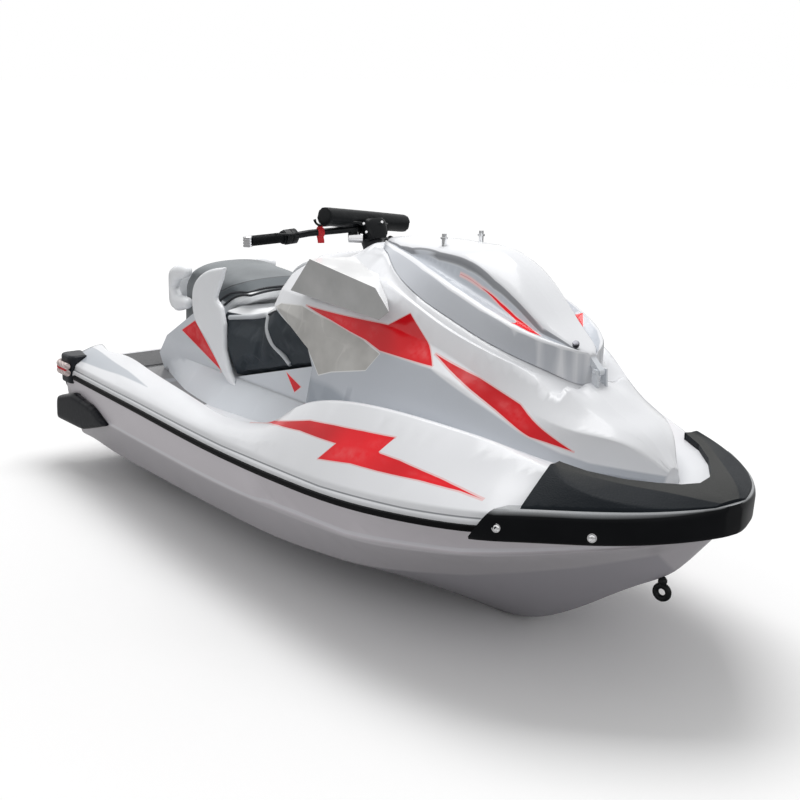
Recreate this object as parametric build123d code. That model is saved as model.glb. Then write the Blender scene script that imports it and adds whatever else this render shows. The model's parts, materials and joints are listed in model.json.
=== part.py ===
"""Three-seat personal watercraft, millimetres.

Axes: +X towards the bow, +Y to port, +Z up.  Origin under the middle of the
craft, at the level of its ride plate and keel pad, on which it stands.
Moulded surfaces are drawn on a lines plan: a place along the hull is a
station number counted from the transom, a place across it is a buttock
number counted from the centreline, and a height is in millimetres.
"""
from build123d import *
from math import cos, radians, sin, tan
import os

import numpy as np

# Overall sizes
LENGTH = 3065.0            # tow eyes to bow bumper
BEAM = 1160.0              # over the rub rails
STERN_REACH = 100.0        # tow eyes behind the transom
STATIONS = 29.65           # station spaces from transom to bumper face
BUTTOCKS = 5.71            # buttock spaces from centreline to the widest gunwale
RAIL_PROUD = 9.0
RAIL_SINK = 3.0            # the rails are drawn this far into the skin, then trimmed to it

# Lines plan
TRANSOM = -LENGTH / 2 + STERN_REACH
STATION = (LENGTH - STERN_REACH) / STATIONS
BUTTOCK = (BEAM / 2 - RAIL_PROUD) / BUTTOCKS
KEEL_PAD = 32.0            # half width of the flat of the keel
FLOOR = 405.0              # footwell floor
GAP = 0.3                  # between soft or curved pieces and what carries them
EASE_SHARE = 0.42          # most of a side that the rounding of one corner takes

# Engine bay and engine
BAY = (8.8, 14.2, 190.0, 95.0, 450.0)   # stations, half width, bottom, top
BAY_MARGIN = 20.0
ENGINE_TOP = 60.0          # air above the engine

# Jet pump
JET_HEIGHT = 165.0
TUNNEL_HALF = 150.0
TUNNEL_TOP = 340.0
TUNNEL_END = 7.0
PLATE_HALF = 165.0
PLATE_THICK = 10.0
PLATE_RISE = 90.0          # top of the plate's upstands in the tunnel
DUCT_BORE = 76.0
DUCT_WALL = 12.0
SHAFT_RADIUS = 14.0
RUNNING = 0.05             # radial clearance of turning shafts
BLADE_CLEAR = 2.0
HUB_RADIUS = 32.0
NOZZLE_EXIT = 42.0
NOZZLE_WALL = 8.0
NOZZLE_LENGTH = 75.0
BUCKET_RADIUS = 153.0
BUCKET_WALL = 6.0
BUCKET_HALF = 106.0
BUCKET_SPAN = (27.0, 80.0)  # degrees above the jet when stored
BUCKET_PIN = 6.0

# Steering
COLUMN_TILT = 30.0         # from upright, head leaning aft
COLUMN_RADIUS = 20.0
STEER_AT_REST = 16.0       # degrees to port at which the bars stand
NOZZLE_RATIO = -0.7        # nozzle angle for each degree of the bars
COLUMN_FOOT = 995.0
PAD_CENTRE = (13.85, 1110.0)
BAR_RADIUS = 11.0
GRIP_RADIUS = 16.0
GRIP_LENGTH = 120.0
PAD_RADIUS = 36.0
PAD_HALF = 210.0

POST_STATION = 18.85
POST_RADIUS = 7.0
POST_COLLAR = 11.0
POST_SINK = 6.0            # depth of the posts' feet in the crown

# Seats, pods and horns
POD_OUT = 3.0              # buttocks of its outer and inner ends
POD_IN = 1.2
SEAT_HEEL = (8.62, 500.0)  # lowest corner of the front cushion on its base: station, height
SEAT_NOSE_GAP = 0.12       # stations between the front cushion's nose and the hood
PILLION_HALF = 1.7         # half width of the rear cushion, in buttocks
HORN_THICK = 22.0
HORN_BEVEL = 6.0

# Rope fender
FENDER_FOOT = 384.0
FENDER_STRAND = 28.5       # height of one strand
FENDER_THICK = 24.0
FENDER_ROUND = 10.0
FENDER_GAP = 17.0
FENDER_TAIL = 120.0
FENDER_BEND = 34.0

# Storage lid
LID_WALL = 10.0
LID_GAP = 3.0
HINGE_STATION = 24.78
HINGE_HEIGHT = 812.0
HINGE_PIN = 4.0
BIN_FLOOR = 520.0


def place(station):
    return TRANSOM + station * STATION


def across(buttock):
    return buttock * BUTTOCK


def faired(points, station):
    """Half breadth and height of a lines-plan line, by monotone cubic fairing."""
    table = np.array(points, dtype=float)
    knots = table[:, 0]
    return tuple(monotone(knots, table[:, column], station) for column in (1, 2))


def monotone(knots, values, at):
    """Monotone cubic through (knots, values): no overshoot between the knots."""
    steps = np.diff(knots)
    slopes = np.diff(values) / steps
    tangents = np.zeros(len(knots))
    tangents[0] = slopes[0]
    tangents[-1] = slopes[-1]
    for i in range(1, len(knots) - 1):
        if slopes[i - 1] * slopes[i] > 0:
            w1 = 2 * steps[i] + steps[i - 1]
            w2 = steps[i] + 2 * steps[i - 1]
            tangents[i] = (w1 + w2) / (w1 / slopes[i - 1] + w2 / slopes[i])
    at = min(max(at, knots[0]), knots[-1])
    i = min(int(np.searchsorted(knots, at, side="right")) - 1, len(knots) - 2)
    t = (at - knots[i]) / steps[i]
    return float(
        (1 + 2 * t) * (1 - t) ** 2 * values[i]
        + t * (1 - t) ** 2 * steps[i] * tangents[i]
        + t * t * (3 - 2 * t) * values[i + 1]
        + t * t * (t - 1) * steps[i] * tangents[i + 1]
    )


# Lines of the hull and deck mouldings: (station, buttock, height)
KEEL = [(0, 0.32, 12), (3, 0.32, 8), (7, 0.32, 0), (20.5, 0.32, 0), (22.2, 0.3, 14), (23.6, 0.26, 62),
        (25.4, 0.2, 176), (26.8, 0.16, 262), (27.9, 0.13, 336), (28.6, 0.1, 412), (29.35, 0.06, 498)]
CHINE = [(0, 4.0, 118), (6, 4.3, 122), (14, 4.4, 132), (19, 4.1, 165), (23, 3.05, 236), (26, 1.75, 326),
         (28, 0.8, 406), (29, 0.33, 470), (29.35, 0.15, 504)]
STEP = [(0, 4.5, 250), (6, 4.85, 255), (14, 5.25, 272), (20, 5.15, 300), (24, 4.25, 350), (27, 2.45, 412),
        (28.6, 1.15, 458), (29.35, 0.34, 508)]
STEP_IN = [(0, 4.52, 264), (6, 4.88, 269), (14, 5.28, 286), (15.4, 5.3, 291), (15.9, 5.12, 294),
           (20, 5.0, 314), (24, 4.1, 364), (27, 2.3, 422), (28.6, 1.06, 464), (29.35, 0.32, 511)]
GUNWALE = [(0, 4.66, 382), (7, 5.2, 396), (13.9, 5.6, 402), (19.5, 5.71, 422), (23, 5.4, 450),
           (25.4, 4.66, 474), (26.6, 3.72, 488), (27.8, 2.7, 500), (28.7, 1.62, 512), (29.15, 0.95, 518),
           (29.35, 0.5, 522)]
SHOULDER = [(0, 3.62, 474), (4, 4.18, 476), (6.5, 4.58, 474), (9.3, 4.95, 466), (11.5, 5.1, 464),
            (13.5, 5.25, 470), (15, 5.22, 488), (17, 5.1, 540), (19, 4.98, 570), (20.8, 4.78, 582),
            (22.7, 4.4, 586), (24, 3.98, 584), (25.4, 3.5, 578), (26.4, 2.9, 574), (27.4, 2.12, 568),
            (28.4, 1.34, 562), (29.05, 0.72, 558), (29.35, 0.35, 555)]
CREST = [(0, 2.95, 482), (1.4, 3.06, 484), (4, 3.36, 485), (6.7, 3.75, 485), (9, 4.1, 484), (11.7, 4.42, 482),
         (13, 4.52, 485), (15, 4.45, 520), (17, 4.4, 625), (19, 4.3, 668), (20.8, 4.0, 676), (22.7, 3.5, 664),
         (24, 3.1, 650), (25.4, 2.85, 622), (26.4, 2.4, 604), (27.4, 1.8, 592), (28.4, 1.15, 580),
         (29.05, 0.6, 568), (29.35, 0.3, 558)]
WELL = [(0, 2.85, 430), (4, 3.25, 424), (6, 3.6, 406), (9, 3.95, 406), (12, 4.2, 412), (14, 4.1, 445),
        (16, 3.8, 545), (17.5, 3.65, 615), (20, 3.4, 650), (22.3, 3.0, 642), (24, 2.7, 630),
        (25.2, 2.4, 612), (26.4, 1.95, 592), (27.6, 1.3, 578), (28.6, 0.78, 568), (29.05, 0.42, 560),
        (29.35, 0.2, 552)]
MIDDLE = [(0, 0.6, 430), (4, 0.6, 424), (6, 0.6, 406), (12, 0.6, 412), (16, 0.6, 500), (20, 0.6, 560),
          (24, 0.6, 570), (26.4, 0.5, 566), (28, 0.35, 560), (28.8, 0.25, 556), (29.35, 0.1, 550)]
BODY_STATIONS = [0, 2.5, 5, 7.5, 10.5, 13, 14.6, 15.3, 15.6, 15.9, 16.5, 17.5, 19, 21, 22.8, 24.4, 25.8,
                 26.9, 27.8, 28.5, 29.0, 29.35]
LIP_HEIGHT = 20.0          # the gunwale's lower bead over the rail
GROOVE_HEIGHT = 25.0       # the groove between its two beads
JOINT_STATIONS = [0, 2.5, 5, 7.5, 10.5, 13, 15, 17, 19, 21, 22.8, 24.4, 25.8, 26.9, 27.8, 28.5, 29.0, 29.35]
BAND_HEIGHT = 44.0         # the top of its upper bead
FADE_STATION = 25.4        # the beads die away under the bow bumper from here

# Lines of the hood that carries the console, lid and bow fairing
HOOD_FOOT = [(9.9, 2.3, 600), (11.5, 2.35, 590), (13.5, 2.9, 560), (15.5, 3.5, 560), (18, 3.5, 610),
             (21, 3.25, 620), (24, 2.9, 610), (25.3, 2.3, 596), (26, 1.65, 580), (27, 0.8, 570),
             (27.6, 0.3, 560)]
HOOD_KNUCKLE = [(9.9, 2.1, 806), (11.5, 2.3, 816), (13.5, 2.75, 820), (15.5, 2.95, 812), (18.4, 2.9, 796),
                (20.9, 2.8, 784), (23, 2.6, 716), (24.5, 2.3, 662), (25.3, 1.85, 630), (26, 1.45, 612),
                (26.6, 1.02, 602), (27, 0.7, 598), (27.3, 0.44, 596), (27.6, 0.2, 594)]
HOOD_COLLAR = [(9.9, 2.05, 812), (11.5, 2.1, 870), (13.5, 2.5, 880), (15.5, 2.7, 880), (18, 2.55, 868),
               (20.3, 2.35, 836), (23.2, 2.12, 750), (24.6, 1.98, 708), (25.4, 1.74, 692),
               (26, 1.45, 684), (26.6, 1.03, 674), (27, 0.7, 652), (27.3, 0.43, 628), (27.6, 0.19, 604)]
HOOD_LEDGE = [(9.9, 2, 818), (11.5, 1.9, 900), (13.5, 1.55, 980), (15.5, 1.75, 998), (17, 2.1, 982),
              (19.1, 2.22, 948), (20.5, 2.18, 900), (22.1, 2.06, 860), (23.5, 1.74, 828),
              (24.5, 1.2, 796), (25.1, 1.05, 752), (26, 0.9, 706), (26.6, 0.68, 684), (27, 0.46, 660),
              (27.3, 0.29, 632), (27.6, 0.14, 606)]
HOOD_CHANNEL = [(9.9, 1.7, 824), (11.5, 1.6, 905), (13.5, 1.25, 990), (14.6, 1.2, 1006),
                (15.5, 1.15, 1028), (16.8, 1.42, 1030), (17.6, 1.76, 996), (18.9, 2.07, 948),
                (19.6, 2.09, 924), (20.4, 2.05, 896), (21.9, 1.95, 854), (23, 1.64, 822), (24, 1.1, 794),
                (24.5, 0.74, 778), (25.1, 0.7, 756), (26, 0.6, 712), (26.6, 0.45, 690), (27, 0.3, 664),
                (27.3, 0.2, 636), (27.6, 0.1, 608)]
HOOD_COAMING = [(9.9, 1.4, 828), (11.5, 1.3, 910), (13.5, 1, 996), (14.6, 0.9, 1012), (15.5, 0.7, 1060),
                (16.8, 1.2, 1062), (17.6, 1.58, 1032), (18.9, 1.93, 990), (19.6, 1.96, 962),
                (20.4, 1.92, 936), (21.9, 1.82, 892), (23, 1.46, 854), (24, 0.86, 814), (24.5, 0.4, 788),
                (25.1, 0.36, 764), (26, 0.3, 716), (26.6, 0.22, 693), (27, 0.15, 667), (27.3, 0.1, 638),
                (27.6, 0.05, 609)]
HOOD_STATIONS = [10.6, 11.5, 12.5, 13.5, 14.6, 15.5, 16.2, 16.8, 17.6, 18.9, 20.2, 21.6, 23, 24, 24.5, 25.1,
                 25.8, 26.4, 27, 27.3, 27.6]
HOOD_REAR = [(15.55, 688), (15.1, 738), (13.65, 782), (12.3, 810), (12.05, 822), (12.3, 925),
             (12.9, 975)]           # side view of its rear end, which the seat's nose follows

# Lines of the storage lid
LID_SEAM = [(15.5, 0.45, 1052), (16, 0.84, 1052), (16.8, 1.27, 1046), (17.6, 1.64, 1014),
            (18.9, 1.98, 972), (19.6, 2, 946), (20.4, 1.96, 921), (21.9, 1.86, 877), (23, 1.5, 840),
            (24, 0.9, 800), (24.35, 0.5, 779), (24.5, 0.2, 772)]
LID_RIM = [(15.5, 0.42, 1060), (16, 0.74, 1060), (16.8, 1.06, 1056), (17.6, 1.24, 1048),
           (18.87, 1.53, 1026), (20.24, 1.68, 992), (21.66, 1.67, 952), (22.9, 1.48, 914),
           (23.6, 1.18, 892), (24.1, 0.82, 876), (24.35, 0.5, 866), (24.5, 0.2, 858)]
LID_PANEL = [(15.5, 0.33, 1063), (16, 0.56, 1062), (16.8, 0.86, 1058), (17.6, 1, 1050),
             (18.87, 1.16, 1033), (20.24, 1.22, 1004), (21.66, 1.2, 960), (22.5, 1.08, 924),
             (23.2, 0.9, 894), (23.8, 0.62, 874), (24.2, 0.42, 864), (24.35, 0.3, 858), (24.5, 0.14, 852)]
LID_GROOVE = [(15.5, 0.3, 1062), (16, 0.52, 1062), (16.8, 0.8, 1058), (17.6, 0.96, 1054),
              (19.1, 1.08, 1062), (20.4, 1.08, 1050), (21.5, 1.03, 1008), (22.1, 0.94, 978),
              (23.2, 0.74, 902), (24.1, 0.44, 872), (24.35, 0.28, 861), (24.5, 0.11, 853)]
LID_BROW = [(15.5, 0.28, 1066), (16, 0.5, 1068), (16.8, 0.79, 1068), (17.6, 0.97, 1072),
            (19.1, 1.09, 1080), (20.4, 1.09, 1070), (21.5, 1.02, 1030), (22.1, 0.92, 998),
            (23.2, 0.7, 924), (24.1, 0.38, 879), (24.35, 0.23, 866), (24.5, 0.09, 856)]
LID_CROWN = [(15.5, 0.2, 1072), (16, 0.34, 1078), (16.8, 0.52, 1086), (17.6, 0.6, 1091),
             (19.1, 0.66, 1097), (20.4, 0.66, 1094), (21.5, 0.6, 1054), (22.1, 0.54, 1018),
             (23.2, 0.4, 934), (24.1, 0.22, 881), (24.35, 0.14, 868), (24.5, 0.06, 857)]
LID_SPINE = [(15.5, 0.05, 1074), (16, 0.1, 1082), (16.8, 0.1, 1092), (17.6, 0.1, 1097), (19.1, 0.1, 1102),
             (20.4, 0.1, 1102), (21.5, 0.1, 1060), (22.1, 0.1, 1024), (23.2, 0.08, 938),
             (24.1, 0.06, 882), (24.35, 0.04, 869), (24.5, 0.025, 858)]
RIDGE_WIDTH = 0.14         # width of the raised rim, in buttocks
RIDGE_RISE = 7.0           # its inner edge over its outer one
LID_STATIONS = [15.5, 15.75, 16, 16.4, 16.8, 17.6, 18.6, 19.6, 20.4, 21.1, 21.8, 22.5, 23.2, 23.8, 24.15,
                24.35, 24.5]


def lid_ridge():
    """Inner edge of the raised rim that runs round the lid's side panels."""
    return [(s, b - RIDGE_WIDTH * min(1, b / 1.2), z + RIDGE_RISE) for s, b, z in LID_RIM]


def beaded(inward, up):
    """A line that runs inboard of and over the gunwale, dying away under the bow bumper."""
    line = []
    for s in BODY_STATIONS:
        b, z = faired(GUNWALE, s)
        share = 1 - 0.75 * max(0, (s - FADE_STATION) / (STATIONS - FADE_STATION))
        line.append((s, b - inward * share, z + up * share))
    return line


def section(lines, station):
    """Closed outline across the craft through the given lines, each corner eased by its line's distance."""
    half = [(*faired(line, station), ease) for line, ease in lines]
    ring = [(across(b), z, ease) for b, z, ease in half]
    ring += [(-y, z, ease) for y, z, ease in reversed(ring)]
    return eased_outline([Vector(place(station), y, z) for y, z, _ in ring], [ease for _, _, ease in ring])


def eased_outline(corners, eases):
    """Closed outline whose corners are each cut by a facet, at most to a share of the shorter side."""
    count = len(corners)
    points = []
    for i, corner in enumerate(corners):
        before = corners[i - 1] - corner
        after = corners[(i + 1) % count] - corner
        ease = min(eases[i], EASE_SHARE * before.length, EASE_SHARE * after.length)
        points.append(corner + before.normalized() * ease)
        points.append(corner + after.normalized() * ease)
    return Wire.make_polygon(points, close=True)


def lofted(lines, stations):
    return Solid.make_loft([section(lines, s) for s in stations])


def block(x0, x1, y0, y1, z0, z1):
    """Box between two corners."""
    size = Box(x1 - x0, y1 - y0, z1 - z0)
    return Pos((x0 + x1) / 2, (y0 + y1) / 2, (z0 + z1) / 2) * size


def plate_xz(points, y0, y1):
    """Side-view outline (x, z) as a plate from y0 to y1."""
    face = make_face(Polyline([(x, z) for x, z in points], close=True))
    upright = Plane(origin=(0, y0, 0), x_dir=(1, 0, 0), z_dir=(0, -1, 0)) * face
    return extrude(upright, amount=y1 - y0, dir=(0, 1, 0))


def plate_xy(points, z0, z1):
    """Plan outline (x, y) as a plate from z0 to z1."""
    face = make_face(Polyline([(x, y) for x, y in points], close=True))
    return extrude(Pos(0, 0, z0) * face, amount=z1 - z0)


def cylinder_between(start, end, radius):
    axis = Vector(end) - Vector(start)
    return Solid.make_cylinder(radius, axis.length, Plane(origin=Vector(start), z_dir=axis))


def mirrored_pair(shape):
    return Compound(children=[Part() + shape, Part() + mirror(shape, about=Plane.XZ)])


# Moulded body ------------------------------------------------------------

BODY_LINES = [(KEEL, 6), (CHINE, 8), (STEP, 5), (STEP_IN, 8), (GUNWALE, 3), (beaded(0.02, LIP_HEIGHT), 3),
              (beaded(0.08, GROOVE_HEIGHT), 2), (beaded(0.11, BAND_HEIGHT), 5), (SHOULDER, 24), (CREST, 10),
              (WELL, 14), (MIDDLE, 1)]
HOOD_LINES = [(HOOD_FOOT, 10), (HOOD_KNUCKLE, 5), (HOOD_COLLAR, 4), (HOOD_LEDGE, 8), (HOOD_CHANNEL, 5),
              (HOOD_COAMING, 1)]
LID_LINES = [(LID_SEAM, 1), (LID_RIM, 4), (lid_ridge(), 4), (LID_PANEL, 9), (LID_GROOVE, 3), (LID_BROW, 6),
             (LID_CROWN, 18), (LID_SPINE, 1)]


def body():
    return lofted(BODY_LINES, BODY_STATIONS)


def above_joint():
    """Everything over the joint between hull and deck, which follows the gunwale."""
    line = [(place(s), faired(GUNWALE, s)[1]) for s in JOINT_STATIONS]
    sheer = Spline([(x, z) for x, z in line])
    ahead = (line[-1][0] + 200, line[-1][1])
    aft = (line[0][0] - 200, line[0][1])
    top = 2000
    outline = sheer + Polyline([line[-1], ahead, (ahead[0], top), (aft[0], top), aft, line[0]])
    face = make_face(outline)
    upright = Plane(origin=(0, -BEAM, 0), x_dir=(1, 0, 0), z_dir=(0, -1, 0)) * face
    return extrude(upright, amount=2 * BEAM, dir=(0, 1, 0))


def pedestal():
    """Seat base: a box-section moulding that flares into the footwells."""
    front, top = HOOD_REAR[0]
    outline = [(3.4, FLOOR - 15), (2.8, 484), (3.45, 564), (5.75, 693), (7.6, 700), (8.0, 560), SEAT_HEEL,
               (front, top), (front, FLOOR - 15)]
    core = plate_xz([(place(s), z) for s, z in outline], -across(1.9), across(1.9))
    foot = [(3.3, 1.95), (6, 2.7), (8.6, 3.1), (11, 2.95), (13.5, 2.75), (front, 2.5)]
    rim = [(3.5, 1.85), (6, 1.95), (8.6, 2.0), (11, 2.0), (13.5, 2.0), (front, 2.0)]
    low = plan_wire(foot, FLOOR - 15)
    high = plan_wire(rim, SEAT_HEEL[1])
    return Part() + core + Solid.make_loft([low, high], ruled=True)


def plan_wire(half, height):
    points = [(place(s), across(b), height) for s, b in half]
    other = [(x, -y, z) for x, y, z in reversed(points)]
    return Wire.make_polygon([Vector(*p) for p in points + other], close=True)


def engine_bay():
    first, last, half, bottom, top = BAY
    return block(place(first), place(last), -half, half, bottom, top)


def lid_bin():
    """Storage bin under the lid, open at the top."""
    rows = [(17.2, 1.05), (18.4, 1.6), (20.6, 1.6), (22.6, 1.25), (23.4, 0.9)]
    top = plan_wire(rows, 1100)
    low = plan_wire(rows, BIN_FLOOR)
    return Solid.make_loft([low, top], ruled=True)


def lid_seat():
    """The room above the seam line that the lid takes up in the hood."""
    first = place(LID_STATIONS[0]) - LID_GAP
    last = place(LID_STATIONS[-1] + 0.15)
    line = [(place(s), faired(LID_SEAM, s)[1] - LID_GAP) for s in LID_STATIONS]
    outline = [(first, 1300), (first, line[0][1])] + line + [(last, line[-1][1]), (last, 1300)]
    return plate_xz(outline, -across(4), across(4))


def hood_rear():
    """What is cut off behind the hood's slanted rear end."""
    line = [(place(s), z) for s, z in HOOD_REAR]
    behind = place(HOOD_STATIONS[0]) - 50
    outline = [(line[0][0], 300)] + line + [(line[-1][0], 1300), (behind, 1300), (behind, 300)]
    return plate_xz(outline, -across(4), across(4))


def mouldings():
    """Hull, deck, hood and seat pedestal, fitted to each other."""
    whole = Part() + body()
    over = above_joint()
    bay = engine_bay()
    well = lid_bin()
    hull = whole - over - bay - pump_tunnel() - shaft_bore()
    deck = (whole & over) - bay - well
    shell = (Part() + lofted(HOOD_LINES, HOOD_STATIONS)) - lid_seat() - hood_rear()
    hood = biggest(shell - whole - well - console_pocket())
    base = biggest(pedestal() - whole - hood)
    return hull, deck, hood, base


def console_pocket():
    """Flat recess in the console for the steering base."""
    x = place(PAD_CENTRE[0]) + (PAD_CENTRE[1] - COLUMN_FOOT) * tan(radians(COLUMN_TILT))
    return block(x - 62, x + 62, -56, 56, COLUMN_FOOT, COLUMN_FOOT + 200)


def pump_tunnel():
    end = place(TUNNEL_END)
    start = TRANSOM - 50
    half = TUNNEL_HALF
    roof = TUNNEL_TOP
    mid = place(4.6)
    outline = [(start, -10), (start, roof), (mid, roof), (end, 60), (end, -10)]
    return plate_xz(outline, -half, half)


def shaft_bore():
    x0 = place(4.5)
    x1 = place(BAY[0]) + 1
    return cylinder_between((x0, 0, JET_HEIGHT), (x1, 0, JET_HEIGHT), SHAFT_RADIUS + RUNNING)


# Outside trim ------------------------------------------------------------

def rub_rails(whole):
    """Black strip over the hull and deck joint, one each side."""
    stations = [s for s in BODY_STATIONS if s <= 24.4] + [25.3]
    stations[0] = 1.05
    sections = []
    for s in stations:
        b, z = faired(GUNWALE, s)
        low = faired(STEP_IN, s)
        high = (b - 0.02, z + LIP_HEIGHT)
        y = across(b) - RAIL_SINK
        share_low = 11 / (z - low[1])
        share_high = 9 / (high[1] - z)
        y_low = y + (across(low[0]) - RAIL_SINK - y) * share_low
        y_high = y + (across(high[0]) - RAIL_SINK - y) * share_high
        proud = across(b) + RAIL_PROUD
        points = [(y_low, z - 11), (y, z), (y_high, z + 9), (proud - 2, z + 7), (proud, z), (proud - 3, z - 9)]
        sections.append(Wire.make_polygon([Vector(place(s), py, pz) for py, pz in points], close=True))
    return mirrored_pair(biggest(Part() + Solid.make_loft(sections) - whole))


BUMPER_TOP = [(25.0, 5.03, 528), (25.35, 4.86, 532), (26.7, 3.84, 544), (27.9, 2.82, 552), (28.7, 1.95, 558),
              (29.15, 1.3, 562), (29.5, 0.66, 566), (29.65, 0.2, 568)]
BUMPER_SIDE = [(25.0, 5.12, 506), (25.35, 4.95, 510), (26.7, 3.94, 522), (27.9, 2.93, 530), (28.7, 2.06, 536),
               (29.15, 1.4, 540), (29.5, 0.74, 544), (29.65, 0.28, 546)]
BUMPER_LOW = [(25.0, 5.08, 443), (25.35, 4.92, 446), (26.7, 3.9, 456), (27.9, 2.88, 464), (28.7, 2.0, 472),
              (29.15, 1.34, 478), (29.5, 0.68, 484), (29.65, 0.24, 488)]
BUMPER_LINES = [(BUMPER_LOW, 10), (BUMPER_SIDE, 5), (BUMPER_TOP, 6)]
BUMPER_STATIONS = [25.0, 25.6, 26.2, 27, 27.8, 28.4, 28.9, 29.3, 29.5, 29.65]
BUMPER_REAR = [(25.2, 446), (25.8, 546)]   # slope of its rear ends, station and height


def bow_bumper(whole):
    """Moulded belt round the bow, with slanted rear ends."""
    belt = Part() + lofted(BUMPER_LINES, BUMPER_STATIONS)
    hollow = [([(s, b * 0.55, z) for s, b, z in line], ease) for line, ease in BUMPER_LINES]
    inside = Part() + lofted(hollow, [s for s in BUMPER_STATIONS if s < 28])
    (low, z_low), (high, z_high) = BUMPER_REAR
    slope = (place(high) - place(low)) / (z_high - z_low)
    foot = place(low) - 100 * slope
    head = place(high) + 100 * slope
    behind = plate_xz([(foot, z_low - 100), (head, z_high + 100), (place(20), z_high + 100),
                       (place(20), z_low - 100)], -BEAM, BEAM)
    return biggest(belt - whole - inside - behind)


PAD_OUT = [(25.4, 4.78, 500), (26.7, 3.78, 510), (27.9, 2.76, 520), (28.7, 1.9, 530), (29.15, 1.24, 536),
           (29.5, 0.6, 540)]
PAD_EDGE = [(25.4, 4.72, 536), (26.7, 3.74, 549), (27.9, 2.72, 558), (28.7, 1.86, 564), (29.15, 1.2, 567),
            (29.5, 0.58, 570)]
PAD_FOLD = [(25.4, 2.9, 634), (25.9, 2.86, 628), (26.5, 3.0, 606), (27.1, 2.9, 590), (27.8, 2.55, 577),
            (28.4, 2.06, 570), (28.9, 1.5, 568), (29.2, 1.1, 569), (29.5, 0.52, 571)]
PAD_CREASE = [(25.4, 2.72, 634), (26.4, 2.5, 618), (27.2, 2.1, 606), (28.1, 1.5, 596), (28.8, 1.0, 588),
              (29.2, 0.7, 580), (29.5, 0.36, 574)]
PAD_MIDDLE = [(25.4, 1.6, 636), (26.4, 1.5, 622), (27.2, 1.2, 610), (28.1, 0.8, 600), (28.8, 0.5, 590),
              (29.2, 0.3, 582), (29.5, 0.15, 575)]
PAD_LINES = [(PAD_OUT, 1), (PAD_EDGE, 4), (PAD_FOLD, 3), (PAD_CREASE, 3), (PAD_MIDDLE, 8)]
PAD_STATIONS = [25.4, 26.1, 26.8, 27.5, 28.1, 28.6, 29.0, 29.3, 29.5]
PAD_OPENING = [(25, 2.45), (25.9, 2.42), (26.6, 2.16), (27.4, 1.62), (28.0, 1.02), (28.35, 0.55), (28.5, 0)]


def nose_pad(whole, hood, bumper):
    """Textured cap over the bow deck, open round the foot of the hood."""
    cap = Part() + lofted(PAD_LINES, PAD_STATIONS)
    half = [(place(s), across(b)) for s, b in PAD_OPENING]
    opening = plate_xy(half + [(x, -y) for x, y in reversed(half[:-1])], 400, 800)
    rear = [(place(25), 0), (place(25.85), across(2.45)), (place(26.3), across(4.4)), (place(25), across(5.5))]
    cap = cap - opening - plate_xy(rear, 400, 800) - plate_xy([(x, -y) for x, y in rear], 400, 800)
    return biggest(cap - whole - hood - bumper)


def clear_of(shapes, other):
    """Each solid with the other shape cut away, largest piece kept."""
    return Compound(children=[Part() + biggest(solid - other) for solid in shapes.solids()])


def biggest(shape):
    return max(shape.solids(), key=lambda s: s.volume)


def stern_fender():
    """Rope fender of two rounded strands round the stern corners and across the transom."""
    strands = [fender_strand(FENDER_FOOT + i * (FENDER_STRAND - 1)) for i in range(2)]
    return Part() + strands[0] + strands[1]


def fender_strand(height):
    """One strand of the fender, rounded in section."""
    y = across(4.66) + FENDER_GAP
    front = place(0.9)
    back = TRANSOM - FENDER_GAP
    centre = (front + back) / 2 + FENDER_TAIL / 2
    run = front - back + FENDER_TAIL
    inner = Pos(centre, 0) * RectangleRounded(run, 2 * y, FENDER_BEND)
    width = run + 2 * FENDER_THICK
    outer = Pos(centre, 0) * RectangleRounded(width, 2 * (y + FENDER_THICK), FENDER_BEND + FENDER_THICK)
    ring = Pos(0, 0, height) * extrude(outer - inner, amount=FENDER_STRAND)
    ring = fillet(ring.edges(), FENDER_ROUND)
    return ring - block(front, front + 2 * FENDER_TAIL + 500, -BEAM, BEAM, height - 5, height + FENDER_STRAND + 5)


def stern_guards(whole):
    y = across(4.66)
    gap = 16.7
    solid = extrude(
        Pos(0, 0, 352) * (Pos(TRANSOM + 40, 0) * RectangleRounded(2 * (40 + gap), 2 * (y + gap), 33.7)),
        amount=112,
    )
    solid = solid - block(TRANSOM - 60, TRANSOM + 200, -across(3.9), across(3.9), 300, 600)
    solid = solid - whole
    parts = sorted(solid.solids(), key=lambda s: s.volume)[-2:]
    return Compound(children=[Part() + p for p in parts])


def tow_eyes():
    """Black plates behind the transom, each with a tow eye."""
    x = TRANSOM
    outline = [(x, 302), (x, 350), (x - 50, 350), (x - 58, 392), (x - 92, 392), (x - 100, 350), (x - 70, 312)]
    plate = plate_xz(outline, across(4.2), across(4.2) + 12)
    plate = plate - cylinder_between((x - 78, 0, 366), (x - 78, 900, 366), 6)
    return mirrored_pair(plate)


def sponsons(whole):
    outline = [(place(-0.35), 190), (place(-0.3), 285), (place(1.2), 330), (place(3), 312), (place(4.1), 262), (place(1.9), 194)]
    wedge = Part() + Solid.make_loft([
        Wire.make_polygon([Vector(x, across(3.9), z) for x, z in outline], close=True),
        Wire.make_polygon([Vector(x, across(4.95), z * 0.92 + 18) for x, z in outline], close=True),
    ], ruled=True)
    return mirrored_pair(biggest(wedge - whole))


def bow_eye():
    x = place(27.5)
    z = 262.0
    ring = Pos(x, 0, z) * Rot(90, 0, 0) * (Cylinder(27, 14) - Cylinder(9, 20))
    shank = block(x - 30, x + 4, -7, 7, z + 8, z + 60)
    shank = shank - cylinder_between((x, -20, z), (x, 20, z), 24)
    return ring + shank


# Jet pump ------------------------------------------------------------------

PUMP_AFT = 3.0
PUMP_FORE = 4.6
VENTURI_AFT = 2.25


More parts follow.
